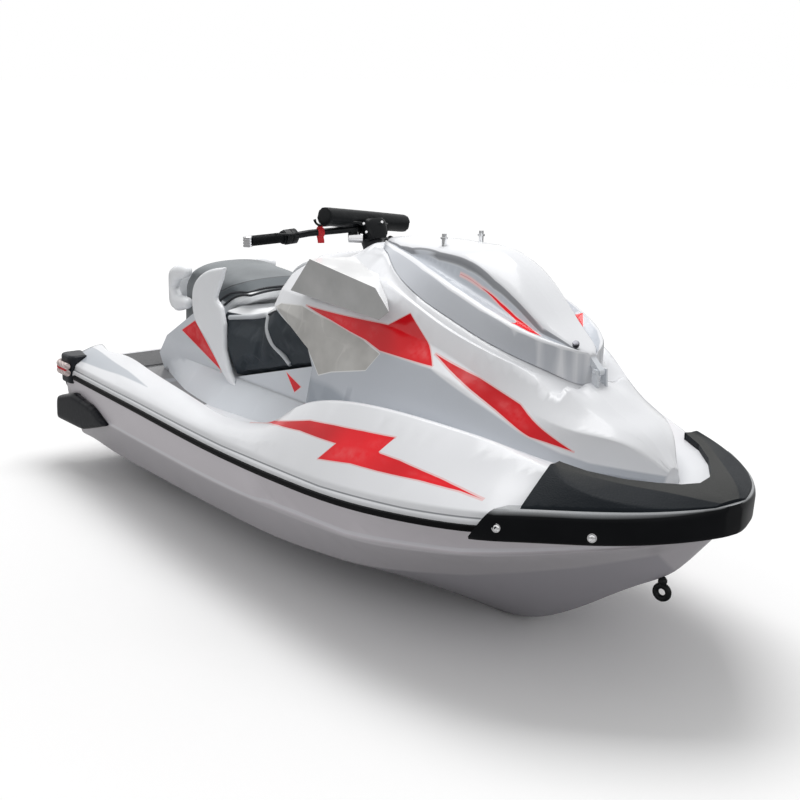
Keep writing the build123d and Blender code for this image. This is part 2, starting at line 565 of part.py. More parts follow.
def ride_plate():
    x0 = TRANSOM + 25
    x1 = place(4.7)
    shape = Part() + block(x0, x1, -PLATE_HALF, PLATE_HALF, 0, PLATE_THICK)
    for side in (1, -1):
        upstand = block(x0, x1, TUNNEL_HALF - PLATE_THICK, TUNNEL_HALF, PLATE_THICK, PLATE_RISE)
        shape = shape + (upstand if side > 0 else mirror(upstand, about=Plane.XZ))
    return shape


def intake_grate():
    x0 = place(4.7)
    x1 = place(TUNNEL_END)
    frame = block(x0, x1, -TUNNEL_HALF, TUNNEL_HALF, 4, 16)
    frame = frame - block(x0 + 14, x1 - 14, -110, 110, 0, 20)
    bars = [block(x0 + 10, x1 - 10, y - 4, y + 4, 4, 16) for y in (-66, -22, 22, 66)]
    shape = Part() + frame
    for bar in bars:
        shape = shape + bar
    return shape


def pump_housing():
    """Duct with its stator vanes, hub, and the foot that bolts to the ride plate."""
    outer = DUCT_BORE + DUCT_WALL
    x0 = place(PUMP_AFT)
    x1 = place(PUMP_FORE)
    duct = cylinder_between((x0, 0, JET_HEIGHT), (x1, 0, JET_HEIGHT), outer)
    flange = block(x0 + 20, x1, -outer - 22, outer + 22, PLATE_THICK, TUNNEL_TOP)
    venturi = Plane(origin=(x0, 0, JET_HEIGHT), z_dir=(-1, 0, 0))
    length = x0 - place(VENTURI_AFT)
    cone = venturi * extrude_cone(outer, NOZZLE_EXIT + 8 + 8, length)
    bore = venturi * extrude_cone(DUCT_BORE, NOZZLE_EXIT + 8, length)
    shape = (Part() + duct + flange + cone) - cylinder_between((x0, 0, JET_HEIGHT), (x1 + 1, 0, JET_HEIGHT), DUCT_BORE) - bore
    hub = cylinder_between((x0 - 10, 0, JET_HEIGHT), (x0 + 55, 0, JET_HEIGHT), HUB_RADIUS)
    shape = shape + hub
    for k in range(6):
        vane = Pos(x0 + 27, 0, JET_HEIGHT) * Rot(k * 60, 0, 0) * Pos(0, 0, (HUB_RADIUS + DUCT_BORE) / 2) * Box(50, 5, DUCT_BORE - HUB_RADIUS + 6)
        shape = shape + vane
    for side in (1, -1):
        ear = block(place(VENTURI_AFT) - 26, place(VENTURI_AFT) + 30, -16, 16, 0, 10)
        shape = shape + Pos(0, 0, JET_HEIGHT + side * 62 - 5) * ear
    px, pz = bucket_pivot()
    for side in (1, -1):
        arm = block(px - 16, x0 + 6, 86, 98, pz - 14, pz + 14)
        bridge = block(x0 - 5, x0 + 10, 60, 98, pz - 14, pz + 14)
        pin = cylinder_between((px, 97, pz), (px, BUCKET_HALF + 12, pz), BUCKET_PIN)
        bracket = Part() + arm + bridge + pin
        shape = shape + (bracket if side > 0 else mirror(bracket, about=Plane.XZ))
    shape = shape - cylinder_between((x0 - 20, 0, JET_HEIGHT), (x0 + 80, 0, JET_HEIGHT), SHAFT_RADIUS + RUNNING)
    shape = shape - cylinder_between((place(VENTURI_AFT) - 14, 0, 0), (place(VENTURI_AFT) - 14, 0, 400), 5 + RUNNING)
    return shape


def extrude_cone(r0, r1, length):
    return Solid.make_cone(r0, r1, length)


def impeller():
    x0 = place(PUMP_AFT) + 62
    x1 = x0 + 62
    hub = cylinder_between((x0, 0, JET_HEIGHT), (x1, 0, JET_HEIGHT), HUB_RADIUS)
    shape = Part() + hub
    for k in range(3):
        blade = Rot(k * 120, 0, 0) * impeller_blade()
        shape = shape + Pos((x0 + x1) / 2, 0, JET_HEIGHT) * blade
    return shape - cylinder_between((x0 - 5, 0, JET_HEIGHT), (x1 + 5, 0, JET_HEIGHT), SHAFT_RADIUS)


def impeller_blade():
    tip = DUCT_BORE - BLADE_CLEAR
    wires = []
    for r, turn in ((HUB_RADIUS - 4, 35), (0.5 * (HUB_RADIUS + tip), 50), (tip, 62)):
        half = 30.0 * r / tip + 12
        a = radians(turn)
        u = (cos(a), sin(a))
        n = (-sin(a) * 2.2, cos(a) * 2.2)
        corners = [(u[0] * half + n[0], u[1] * half + n[1]), (-u[0] * half + n[0], -u[1] * half + n[1]),
                   (-u[0] * half - n[0], -u[1] * half - n[1]), (u[0] * half - n[0], u[1] * half - n[1])]
        limit = 28.0
        corners = [(max(-limit, min(limit, p)), q) for p, q in corners]
        wires.append(Wire.make_polygon([Vector(p, q, r) for p, q in corners], close=True))
    blade = Part() + Solid.make_loft(wires, ruled=True)
    return blade & (Rot(0, 90, 0) * Cylinder(tip, 62))


def drive_shaft():
    x0 = place(PUMP_AFT) - 8
    x1 = place(BAY[0]) + BAY_MARGIN - 1
    return cylinder_between((x0, 0, JET_HEIGHT), (x1, 0, JET_HEIGHT), SHAFT_RADIUS)


def nozzle():
    """Steering nozzle on an upright pivot at the pump outlet."""
    pivot = place(VENTURI_AFT) - 14
    x1 = pivot - 16
    plane = Plane(origin=(x1, 0, JET_HEIGHT), z_dir=(-1, 0, 0))
    shape = Part() + plane * Solid.make_cone(NOZZLE_EXIT + 14, NOZZLE_EXIT + NOZZLE_WALL, NOZZLE_LENGTH)
    shape = shape - plane * Solid.make_cone(NOZZLE_EXIT + 4, NOZZLE_EXIT, NOZZLE_LENGTH)
    for side in (1, -1):
        lug = block(x1 - 22, pivot + 12, -14, 14, -5, 5)
        shape = shape + Pos(0, 0, JET_HEIGHT + side * 74) * lug
        riser = block(x1 - 30, x1 - 8, -14, 14, -14, 14)
        shape = shape + Pos(0, 0, JET_HEIGHT + side * 65) * riser
    shape = shape - plane * Solid.make_cone(NOZZLE_EXIT + 4, NOZZLE_EXIT, NOZZLE_LENGTH)
    shape = shape - cylinder_between((pivot, 0, 0), (pivot, 0, 400), 5)
    return shape.rotate(Axis((pivot, 0, 0), (0, 0, 1)), NOZZLE_RATIO * STEER_AT_REST)


def nozzle_pins():
    pivot = place(VENTURI_AFT) - 14
    low = cylinder_between((pivot, 0, JET_HEIGHT - 79), (pivot, 0, JET_HEIGHT - 50), 5)
    high = cylinder_between((pivot, 0, JET_HEIGHT + 50), (pivot, 0, JET_HEIGHT + 79), 5)
    return Compound(children=[Part() + low, Part() + high])


def bucket_pivot():
    return (place(VENTURI_AFT) + 30, JET_HEIGHT)


def reverse_bucket():
    """Curved gate that swings down behind the nozzle, stored above it."""
    px, pz = bucket_pivot()
    inner = BUCKET_RADIUS
    outer = inner + BUCKET_WALL
    half = BUCKET_HALF
    reach = 2 * outer
    low, high = (radians(a) for a in BUCKET_SPAN)
    shell = Pos(px, 0, pz) * Rot(90, 0, 0) * (Cylinder(outer, 2 * half) - Cylinder(inner, 2 * half))
    sector = [(px, pz), (px - reach * cos(low), pz + reach * sin(low)), (px - reach * cos(high), pz + reach * sin(high))]
    shape = Part() + (shell & plate_xz(sector, -half, half))
    web = [(px + 12, pz - 12), (px - reach * cos(low), pz + reach * sin(low)), (px - reach * cos(high), pz + reach * sin(high)), (px + 14, pz + 10)]
    for side in (1, -1):
        y0 = half - BUCKET_WALL if side > 0 else -half
        disc = Pos(px, y0 + BUCKET_WALL / 2, pz) * Rot(90, 0, 0) * Cylinder(outer, BUCKET_WALL)
        boss = Pos(px, y0 + BUCKET_WALL / 2, pz) * Rot(90, 0, 0) * Cylinder(17, BUCKET_WALL)
        shape = shape + (disc & plate_xz(web, y0, y0 + BUCKET_WALL)) + boss
    bore = cylinder_between((px, -2 * half, pz), (px, 2 * half, pz), BUCKET_PIN + RUNNING)
    return biggest(shape - bore)


# Engine ---------------------------------------------------------------------

def engine_block():
    first, last, half, bottom, top = BAY
    m = BAY_MARGIN
    return block(place(first) + m, place(last) - m, -half + m, half - m, bottom, top - ENGINE_TOP)


# Storage lid -----------------------------------------------------------------

def front_lid():
    """Hollow lid: the moulded skin less a simpler form one wall smaller."""
    outer = Part() + lofted(LID_LINES, LID_STATIONS)
    drop = {id(LID_SEAM): 3 * LID_WALL}
    inner_lines = []
    for line in (LID_SEAM, LID_RIM, LID_PANEL, LID_GROOVE, LID_SPINE):
        down = drop.get(id(line), LID_WALL)
        moved = [(s, max(b - LID_WALL / BUTTOCK, 0.03), z - down) for s, b, z in line]
        inner_lines.append((moved, 1))
    inner = Part() + lofted(inner_lines, [s for s in LID_STATIONS if 16 < s < 24] )
    return biggest(outer - inner)


def lid_hinge():
    """Deck ears and the pin of the lid's hinge, ahead of the lid's nose."""
    x = place(HINGE_STATION)
    z = HINGE_HEIGHT
    shape = Part()
    for side in (1, -1):
        ear = plate_xz([(x - 12, z - 70), (x - 9, z + 9), (x + 9, z + 9), (x + 16, z - 70)], 0, 6)
        y = 14 if side > 0 else -20
        shape = shape + Pos(0, y, 0) * ear
    shape = shape + cylinder_between((x, -24, z), (x, 24, z), HINGE_PIN)
    return shape


def lid_hinge_arm():
    x = place(HINGE_STATION)
    z = HINGE_HEIGHT
    arm = plate_xz([(x - 70, z + 62), (x - 64, z + 70), (x + 6, z + 8), (x + 2, z - 8), (x - 10, z - 4)], -10, 10)
    arm = arm + Pos(x, 0, z) * Rot(90, 0, 0) * Cylinder(10, 20)
    return arm - cylinder_between((x, -24, z), (x, 24, z), HINGE_PIN + RUNNING)


def lid_posts():
    """Pair of small stainless posts with collars on the lid's crown."""
    half, height = faired(LID_CROWN, POST_STATION)
    posts = []
    for side in (1, -1):
        x = place(POST_STATION)
        y = side * (across(half) + POST_RADIUS)
        stem = cylinder_between((x, y, height - POST_SINK), (x, y, height + 30), POST_RADIUS)
        collar = cylinder_between((x, y, height + 14), (x, y, height + 20), POST_COLLAR)
        posts.append(Part() + stem + collar)
    return Compound(children=posts)


# Steering ---------------------------------------------------------------------

def bars_plane():
    """Frame of the bars: origin at the pad's centre, +Z up the column, turned as they stand."""
    tilt = radians(COLUMN_TILT)
    axis = Vector(-sin(tilt), 0, cos(tilt))
    turn = radians(STEER_AT_REST)
    across_bars = Vector(0, 1, 0) * cos(turn) + axis.cross(Vector(0, 1, 0)) * sin(turn)
    origin = (place(PAD_CENTRE[0]), 0, PAD_CENTRE[1])
    return Plane(origin=origin, x_dir=across_bars.cross(axis), z_dir=axis)


def foot_distance():
    """From the pad's centre down the column to the console."""
    return (PAD_CENTRE[1] - COLUMN_FOOT) / cos(radians(COLUMN_TILT))


def upright(radius, low, high):
    """Cylinder on the column axis between two distances from the pad's centre."""
    return bars_plane() * Pos(0, 0, (low + high) / 2) * Cylinder(radius, high - low)


def steering_base():
    foot = -foot_distance()
    neck = upright(COLUMN_RADIUS + 16, foot - 30, foot + 34)
    seat = bars_plane() * Pos(0, 0, foot + 4) * Rot(0, 0, -STEER_AT_REST) * Box(104, 96, 44)
    bore = upright(COLUMN_RADIUS + RUNNING, foot - 80, foot + 60)
    return Part() + seat + neck - bore


def steering_column():
    foot = -foot_distance()
    shaft = upright(COLUMN_RADIUS, foot + 16, -PAD_RADIUS - 16)
    collar = upright(COLUMN_RADIUS + 14, foot + 36, -PAD_RADIUS - 16)
    return Part() + shaft + collar


BAR_HALF = [(0, 0, -36), (-6, 60, -32), (-88, 190, -18), (-112, 270, -25), (-152, 402, -28)]


def handlebar():
    """Tube through the head clamp, swept back and down to the grips."""
    route = [(x, -y, z) for x, y, z in reversed(BAR_HALF[1:])] + BAR_HALF[1:]
    path = bars_plane() * FilletPolyline(route, radius=[160, 40, 40, 40, 40, 160])
    ring = Plane(origin=path @ 0, z_dir=path % 0) * Circle(BAR_RADIUS)
    clamp = upright(34, -PAD_RADIUS - 16, -PAD_RADIUS + 14)
    return Part() + sweep(ring, path=path) + clamp


def along_bar(distance, side):
    """Point on the outer run of the bar and its direction inboard, in craft axes."""
    end = Vector(*BAR_HALF[-1])
    run = (Vector(*BAR_HALF[-2]) - end).normalized()
    point = end + run * distance
    plane = bars_plane()
    origin = plane.from_local_coords(Vector(point.X, side * point.Y, point.Z))
    ahead = plane.from_local_coords(Vector(point.X + run.X, side * (point.Y + run.Y), point.Z + run.Z))
    return origin, ahead - origin


def sleeve(start, end, radius, bore, side):
    """Tube on the bar between two distances from its end; no bore for a plug."""
    first, run = along_bar(start, side)
    last, _ = along_bar(end, side)
    tube = Part() + cylinder_between(first, last, radius)
    if bore:
        tube = tube - cylinder_between(first - run * 5, last + run * 5, bore)
    return tube


def on_both_ends(start, end, radius, bore):
    return Compound(children=[sleeve(start, end, radius, bore, side) for side in (1, -1)])


def throttle_lever():
    pivot, run = along_bar(GRIP_LENGTH + 20, -1)
    ahead = bars_plane().x_dir
    root = pivot + ahead * 20
    tip = root + ahead * 22 - run * 84
    return Part() + cylinder_between(root, tip, 4)


def handlebar_pad():
    """Padded roll on the head of the bars."""
    roll = bars_plane() * Rot(90, 0, 0) * Cylinder(PAD_RADIUS, 2 * PAD_HALF)
    return Part() + roll - upright(34.3, -PAD_RADIUS - 16, -PAD_RADIUS + 14.3)


# Console, seats and fairings -----------------------------------------------------

def pods():
    """Faceted pod on the console's shoulder, faired into the hood."""
    outer = [(15.05, 1021), (18.5, 980), (19.2, 919), (18.7, 886), (13.95, 905)]
    inner = [(15.2, 1016), (16.4, 1000), (16.6, 960), (16.4, 930), (14.2, 930)]
    wires = [
        Wire.make_polygon([Vector(place(s), across(b), z) for s, z in side], close=True)
        for b, side in ((POD_OUT, outer), (POD_IN, inner))
    ]
    return Part() + Solid.make_loft(wires, ruled=True)


def rider_seat():
    """Front cushion, whose nose tucks in behind the hood."""
    heel, floor = SEAT_HEEL
    nose = [(station - SEAT_NOSE_GAP, z - 2) for station, z in HOOD_REAR[:5]]
    outline = [(8.0, 562), (heel, floor)] + nose + [(11.6, 838), (10.2, 760), (9.0, 742), (8.0, 744), (7.66, 700)]
    return shifted(outline, across(2.0))


def passenger_seat():
    """Rear cushion, a step higher."""
    outline = [(4.0, 574), (5.78, 676), (7.56, 683), (7.9, 748), (9.2, 802), (9.3, 822), (7.6, 858),
               (5.65, 872), (4.8, 858), (4.25, 790)]
    return shifted(outline, across(PILLION_HALF))


def shifted(outline, half):
    """Cushion cut to a side view, held off what carries it by the soft gap."""
    return Part() + Pos(0, 0, GAP) * plate_xz([(place(s), z) for s, z in outline], -half, half)


def side_fairings():
    """Horn-shaped panels that carry the seat's flanks and the hoop."""
    back = [(9.59, 437), (8.07, 517), (7.02, 613), (6.15, 685), (6.03, 751), (6.12, 793), (6.59, 841),
            (7.4, 877), (8.4, 898)]
    front = [(8.4, 898), (8.17, 848), (7.72, 776), (8.14, 750), (8.36, 690), (8.33, 600), (8.7, 520), (9.59, 437)]
    inner = across(2.0) + 1
    rear_edge = Edge.make_spline([Vector(place(s), inner, z) for s, z in back])
    front_edge = Wire.make_polygon([Vector(place(s), inner, z) for s, z in front], close=False)
    sheet = Face(Wire([rear_edge, *front_edge.edges()]))
    plate = Part() + extrude(sheet, amount=HORN_THICK, dir=(0, 1, 0))
    outside = plate.faces().sort_by(Axis.Y)[-1]
    return mirrored_pair(chamfer(outside.edges(), HORN_BEVEL))


def grab_handle():
    """White hoop round the back of the passenger seat, with a hand gap inside."""
    outline = [(place(5.2), 705), (place(4.4), 682), (place(3.6), 697), (place(3.15), 750), (place(3.48), 804),
               (place(4.3), 842), (place(5.2), 852), (place(5.2), 826), (place(4.4), 800), (place(4.0), 760),
               (place(4.4), 728), (place(5.2), 730)]
    band = plate_xz(outline, -across(2.0), across(2.0))
    outer = Pos(place(3.15) + 200, 0, 0) * extrude(RectangleRounded(400, 2 * across(1.98), 120), amount=1200)
    inner = Pos(place(3.15) + 232, 0, 0) * extrude(RectangleRounded(400, 2 * (across(PILLION_HALF) + GAP), 70), amount=1200)
    return biggest((Part() + band) & (outer - inner))


def mats():
    tail = plate_xy([(place(0.25), -across(3.2)), (place(0.25), across(3.2)), (place(2.6), across(3.2)), (place(2.6), -across(3.2))], 428, 432)
    return Part() + tail


def make():
    hull, deck, hood, base = mouldings()
    whole = Part() + body()
    bumper = bow_bumper(whole)
    arm = lid_hinge_arm()
    bar = handlebar()
    housings = clear_of(on_both_ends(GRIP_LENGTH + 2, GRIP_LENGTH + 48, 22, 0), bar)
    lid = front_lid()
    nodes = {
        "hull": hull,
        "deck": deck,
        "hood": hood,
        "seat_pedestal": base,
        "engine_block": engine_block(),
        "rub_rails": rub_rails(whole),
        "bow_bumper": bumper,
        "nose_pad": nose_pad(whole, hood, bumper),
        "stern_fender": stern_fender(),
        "stern_guards": stern_guards(whole),
        "tow_eyes": tow_eyes(),
        "sponsons": sponsons(whole),
        "bow_eye": biggest(bow_eye() - whole),
        "ride_plate": ride_plate(),
        "intake_grate": intake_grate(),
        "pump_housing": pump_housing(),
        "impeller": impeller(),
        "drive_shaft": drive_shaft(),
        "nozzle": nozzle(),
        "nozzle_pins": nozzle_pins(),
        "reverse_bucket": reverse_bucket(),
        "front_lid": lid,
        "lid_hinge": biggest(lid_hinge() - hood),
        "lid_hinge_arm": biggest(arm - lid),
        "lid_posts": clear_of(lid_posts(), lid),
        "steering_base": biggest(steering_base() - hood),
        "steering_column": steering_column(),
        "handlebar": bar,
        "handlebar_pad": biggest(handlebar_pad() - bar),
        "grips": on_both_ends(0, GRIP_LENGTH, GRIP_RADIUS, BAR_RADIUS),
        "bar_ends": on_both_ends(-22, 0, GRIP_RADIUS + 1, 0),
        "switch_housings": housings,
        "throttle_lever": biggest(throttle_lever() - housings),
        "console_pods": mirrored_pair(biggest(pods() - hood)),
        "rider_seat": biggest(rider_seat() - base - hood),
        "passenger_seat": biggest(passenger_seat() - base),
        "side_fairings": clear_of(side_fairings(), deck + base),
        "grab_handle": grab_handle(),
        "stern_mat": biggest(mats() - deck),
    }
    os.makedirs("parts", exist_ok=True)
    for name, shape in nodes.items():
        export_step(shape, f"parts/{name}.step")


make()
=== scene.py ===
"""Looks of a sit-on personal watercraft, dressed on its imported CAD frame, in metres."""
import json
import logging
import math
from dataclasses import dataclass
from enum import Enum
from functools import lru_cache
from typing import Any, Callable, Sequence

import bmesh
import bpy
import numpy as np
from mathutils import Matrix, Vector
from mathutils.bvhtree import BVHTree

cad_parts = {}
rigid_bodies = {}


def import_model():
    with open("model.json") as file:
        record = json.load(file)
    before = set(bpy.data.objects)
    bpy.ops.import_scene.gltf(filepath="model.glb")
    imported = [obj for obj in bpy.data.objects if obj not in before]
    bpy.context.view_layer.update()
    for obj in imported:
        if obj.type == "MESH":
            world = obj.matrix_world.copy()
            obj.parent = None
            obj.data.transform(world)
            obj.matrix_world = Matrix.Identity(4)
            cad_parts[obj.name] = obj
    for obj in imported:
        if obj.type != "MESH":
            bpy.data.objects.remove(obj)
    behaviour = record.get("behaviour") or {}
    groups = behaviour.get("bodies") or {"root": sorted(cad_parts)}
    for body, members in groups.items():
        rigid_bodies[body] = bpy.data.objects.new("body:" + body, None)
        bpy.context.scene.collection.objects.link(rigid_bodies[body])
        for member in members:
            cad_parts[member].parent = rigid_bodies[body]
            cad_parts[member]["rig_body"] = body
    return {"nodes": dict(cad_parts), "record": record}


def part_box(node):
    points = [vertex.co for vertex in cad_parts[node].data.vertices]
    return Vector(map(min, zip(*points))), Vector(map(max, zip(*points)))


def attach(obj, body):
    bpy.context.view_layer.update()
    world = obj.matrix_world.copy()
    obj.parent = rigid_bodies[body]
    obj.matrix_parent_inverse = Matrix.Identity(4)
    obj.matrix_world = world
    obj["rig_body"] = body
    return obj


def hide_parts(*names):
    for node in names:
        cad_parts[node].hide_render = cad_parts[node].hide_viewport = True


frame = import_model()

LOG = logging.getLogger("watercraft")
SAME_PLACE = 1e-6
NO_LENGTH = 1e-7
SOFT_EDGE = 40.0
TURNED_EDGE = 30.0
SCREW_EDGE = 25.0
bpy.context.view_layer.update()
Colour = tuple[float, float, float]
Place = tuple[float, float, float]
Line = tuple[tuple[float, float], ...]


# Shader maths


class Socket:
    """A value in a material, with Python's operators standing for Math nodes."""

    def __init__(self, shader: "Shader", link: Any) -> None:
        """Keep the shader that owns the value and the output that carries it."""
        self.shader = shader
        self.link = link

    def _maths(self, operation: str, *values: Any, clamp: bool = False) -> "Socket":
        """Add one Math node.

        Args:
            operation: Name of the Math node's operation.
            values: Its inputs in order, as sockets or numbers.
            clamp: Whether the result is held between 0 and 1.

        Returns:
            The node's result.
        """
        settings = {"operation": operation, "use_clamp": clamp}
        inputs = {str(index): value for index, value in enumerate(values)}
        return self.shader.node("ShaderNodeMath", settings, inputs)

    def __add__(self, other: Any) -> "Socket":
        """Sum."""
        return self._maths("ADD", self, other)

    __radd__ = __add__

    def __sub__(self, other: Any) -> "Socket":
        """Difference."""
        return self._maths("SUBTRACT", self, other)

    def __rsub__(self, other: Any) -> "Socket":
        """Difference, the other way round."""
        return self._maths("SUBTRACT", other, self)

    def __mul__(self, other: Any) -> "Socket":
        """Product."""
        return self._maths("MULTIPLY", self, other)

    __rmul__ = __mul__

    def __truediv__(self, other: Any) -> "Socket":
        """Quotient."""
        return self._maths("DIVIDE", self, other)

    def __rtruediv__(self, other: Any) -> "Socket":
        """Quotient, the other way round."""
        return self._maths("DIVIDE", other, self)

    def __abs__(self) -> "Socket":
        """Size without sign."""
        return self._maths("ABSOLUTE", self)

    def least(self, other: Any) -> "Socket":
        """Smaller of two values."""
        return self._maths("MINIMUM", self, other)

    def most(self, other: Any) -> "Socket":
        """Larger of two values."""
        return self._maths("MAXIMUM", self, other)

    def sine(self) -> "Socket":
        """Sine of an angle in radians."""
        return self._maths("SINE", self)

    def step(self, low: float, high: float) -> "Socket":
        """Ramp from 0 at low to 1 at high, held between them."""
        return self._maths("MULTIPLY", self - low, 1.0 / (high - low), clamp=True)


class Shader:
    """One material and the nodes that make it."""

    def __init__(self, name: str) -> None:
        """Start an empty Principled material.

        Args:
            name: The material's name.
        """
        self.material = bpy.data.materials.new(name)
        self.material.use_nodes = True
        self.tree = self.material.node_tree
        self.surface = next(n for n in self.tree.nodes if n.type == "BSDF_PRINCIPLED")

    @classmethod
    def on(cls, tree: Any) -> "Shader":
        """Node maker for a tree that is there already, such as the world's.

        Args:
            tree: The node tree.

        Returns:
            A shader with no material of its own.
        """
        made = cls.__new__(cls)
        made.tree = tree
        return made

    def node(self, kind: str, settings: dict[str, Any], inputs: dict[str, Any],
             output: Any = 0) -> Socket:
        """Add one node.

        Args:
            kind: The node's type.
            settings: Its properties, set before its inputs. The stops of a ramp go under "stops".
            inputs: Its inputs by name, or by number as text, as sockets or plain values.
            output: Name or number of the output that is wanted.

        Returns:
            That output.
        """
        made = self.tree.nodes.new(kind)
        for key, value in settings.items():
            if key == "stops":
                self._stops(made.color_ramp, value)
            else:
                setattr(made, key, value)
        for key, value in inputs.items():
            target = made.inputs[int(key) if key.isdigit() else key]
            if isinstance(value, Socket):
                self.tree.links.new(value.link, target)
            else:
                target.default_value = value
        return Socket(self, made.outputs[output])

    @staticmethod
    def _stops(ramp: Any, stops: Sequence[tuple[float, Colour]]) -> None:
        """Give a colour ramp its stops.

        Args:
            ramp: The ramp.
            stops: Pairs of place, from 0 to 1, and colour.
        """
        while len(ramp.elements) < len(stops):
            ramp.elements.new(0.5)
        for element, (place, colour) in zip(ramp.elements, stops):
            element.position = place
            element.color = (*colour, 1.0)

    def place(self) -> Socket:
        """Object coordinates, in metres in the craft's frame."""
        return self.node("ShaderNodeTexCoord", {}, {}, "Object")

    def axes(self) -> tuple[Socket, Socket, Socket]:
        """The three object coordinates as numbers.

        Returns:
            Along the craft, across it and up, in metres.
        """
        split = self.node("ShaderNodeSeparateXYZ", {}, {"Vector": self.place()})
        outputs = split.link.node.outputs
        return tuple(Socket(self, outputs[i]) for i in range(3))

    def noise(self, scale: float, detail: float = 2.0) -> Socket:
        """Smooth noise about 0.5; a larger scale is finer."""
        inputs = {"Vector": self.place(), "Scale": scale, "Detail": detail}
        return self.node("ShaderNodeTexNoise", {}, inputs, "Fac")

    def line(self, along: Socket, points: Sequence[tuple[float, float]]) -> Socket:
        """Height of a line drawn through points, straight between them and level beyond its ends.

        Args:
            along: The coordinate the line runs along.
            points: Pairs of that coordinate and the height there, in rising order.

        Returns:
            The height at each place.
        """
        start, span = points[0][0], points[-1][0] - points[0][0]
        stops = [((x - start) / span, (height,) * 3) for x, height in points]
        share = along.step(start, start + span)
        return self.node("ShaderNodeValToRGB", {"stops": stops}, {"Fac": share}, "Color")

    def blend(self, share: Any, first: Any, second: Any) -> Socket:
        """Colour that goes from the first to the second as share goes from 0 to 1.

        Args:
            share: How much of the second colour shows.
            first: Colour at 0.
            second: Colour at 1.

        Returns:
            The mixed colour.
        """
        colours = [(*c, 1.0) if isinstance(c, tuple) else c for c in (first, second)]
        settings = {"data_type": "RGBA", "blend_type": "MIX"}
        mix = self.node("ShaderNodeMix", settings, {"0": share}, 2)
        for index, colour in zip((6, 7), colours):
            target = mix.link.node.inputs[index]
            if isinstance(colour, Socket):
                self.tree.links.new(colour.link, target)
            else:
                target.default_value = colour
        return mix

    def feed(self, name: str, value: Any) -> None:
        """Set or link one socket of the surface shader.

        Args:
            name: The socket's name.
            value: A link, a colour or a number.
        """
        target = self.surface.inputs[name]
        if isinstance(value, Socket):
            self.tree.links.new(value.link, target)
        elif isinstance(value, tuple):
            target.default_value = (*value, 1.0)
        else:
            target.default_value = value

    def bump(self, height: Socket, distance: float, strength: float = 1.0) -> None:
        """Raise the surface by height times distance, in metres."""
        inputs = {"Height": height, "Distance": distance, "Strength": strength}
        self.feed("Normal", self.node("ShaderNodeBump", {}, inputs, "Normal"))


def tinted(colour: Colour, factor: float, lift: float = 0.0) -> Colour:
    """Colour made darker or lighter: each channel times a factor, plus a lift, held at 1."""
    return tuple(min(1.0, channel * factor + lift) for channel in colour)


# Painted layers


class View(Enum):
    """Drawing on which a line is laid out."""

    SIDE = 2
    PLAN = 1


@dataclass(frozen=True)
class Band:
    """Area between two lines on a drawing.

    Each line is pairs of place along the craft and height, or half breadth on the plan.
    """

    upper: Line
    lower: Line
    view: View = View.SIDE

    def depth(self, made: Shader) -> Socket:
        """Distance inside the nearer edge, in metres.

        Args:
            made: Material that wants it.

        Returns:
            The distance, negative outside the area.
        """
        axes = made.axes()
        x, over = axes[0], abs(axes[self.view.value])
        first = max(self.upper[0][0], self.lower[0][0])
        last = min(self.upper[-1][0], self.lower[-1][0])
        inside = (made.line(x, self.upper) - over).least(over - made.line(x, self.lower))
        return inside.least(x - first).least(last - x)


@dataclass(frozen=True)
class Decal:
    """Red vinyl graphic with a pale edge and fine mottling, on both sides of the craft."""

    bands: tuple[Band, ...]
    colour: Colour = (0.95, 0.008, 0.018)
    deep: Colour = (0.60, 0.003, 0.008)
    edge: Colour = (0.86, 0.60, 0.60)
    rim: float = 0.0035
    limit: Band | None = None
    fade: float = 0.001
    red_fade: float = 0.0008
    worn: Colour = (0.95, 0.42, 0.42)
    worn_share: float = 0.3

    def paint(self, made: Shader, ground: Any) -> Socket:
        """Lay the graphic over a colour.

        Args:
            made: Material being made.
            ground: Colour underneath.

        Returns:
            The colour with the graphic on it.
        """
        depth = self.bands[0].depth(made)
        for band in self.bands[1:]:
            depth = depth.most(band.depth(made))
        if self.limit is not None:
            depth = depth.least(self.limit.depth(made))
        edged = made.blend(depth.step(-self.rim, -self.rim + self.fade), ground, self.edge)
        patches = made.noise(6.0, 2.0).step(0.45, 0.65)
        specks = made.noise(45.0, 5.0).step(0.35, 0.8)
        mottle = specks * patches * depth.step(0.004, 0.016) * self.worn_share
        shade = made.blend(made.noise(3.0, 2.0).step(0.3, 0.62), self.deep, self.colour)
        red = made.blend(mottle, shade, self.worn)
        return made.blend(depth.step(0.0, self.red_fade), edged, red)


@dataclass(frozen=True)
class Area:
    """Second colour of a moulding within a band."""

    band: Band
    colour: Colour
    share: float = 1.0
    soft: float = 0.002

    def paint(self, made: Shader, ground: Any) -> Socket:
        """Lay the colour over another.

        Args:
            made: Material being made.
            ground: Colour underneath.

        Returns:
            The colour with the area on it.
        """
        covered = self.band.depth(made).step(0.0, self.soft) * self.share
        return made.blend(covered, ground, self.colour)


@dataclass(frozen=True)
class Stroke:
    """Thin painted or shaded line along a line on a drawing."""

    line: Line
    colour: Colour
    width: float = 0.003
    view: View = View.SIDE
    taper: float = 0.01

    def mask(self, made: Shader) -> Socket:
        """Share of the line's colour at each place.

        Args:
            made: Material that wants it.

        Returns:
            One on the line and zero off it.
        """
        axes = made.axes()
        x, over = axes[0], abs(axes[self.view.value])
        off = abs(made.line(x, self.line) - over)
        mask = 1.0 - off.step(self.width * 0.3, self.width * 0.7)
        first, last = self.line[0][0], self.line[-1][0]
        mask = mask * x.step(first, first + self.taper)
        return mask * (1.0 - x.step(last - self.taper, last))

    def paint(self, made: Shader, ground: Any) -> Socket:
        """Lay the stroke over a colour.

        Args:
            made: Material being made.
            ground: Colour underneath.

        Returns:
            The colour with the stroke on it.
        """
        return made.blend(self.mask(made), ground, self.colour)


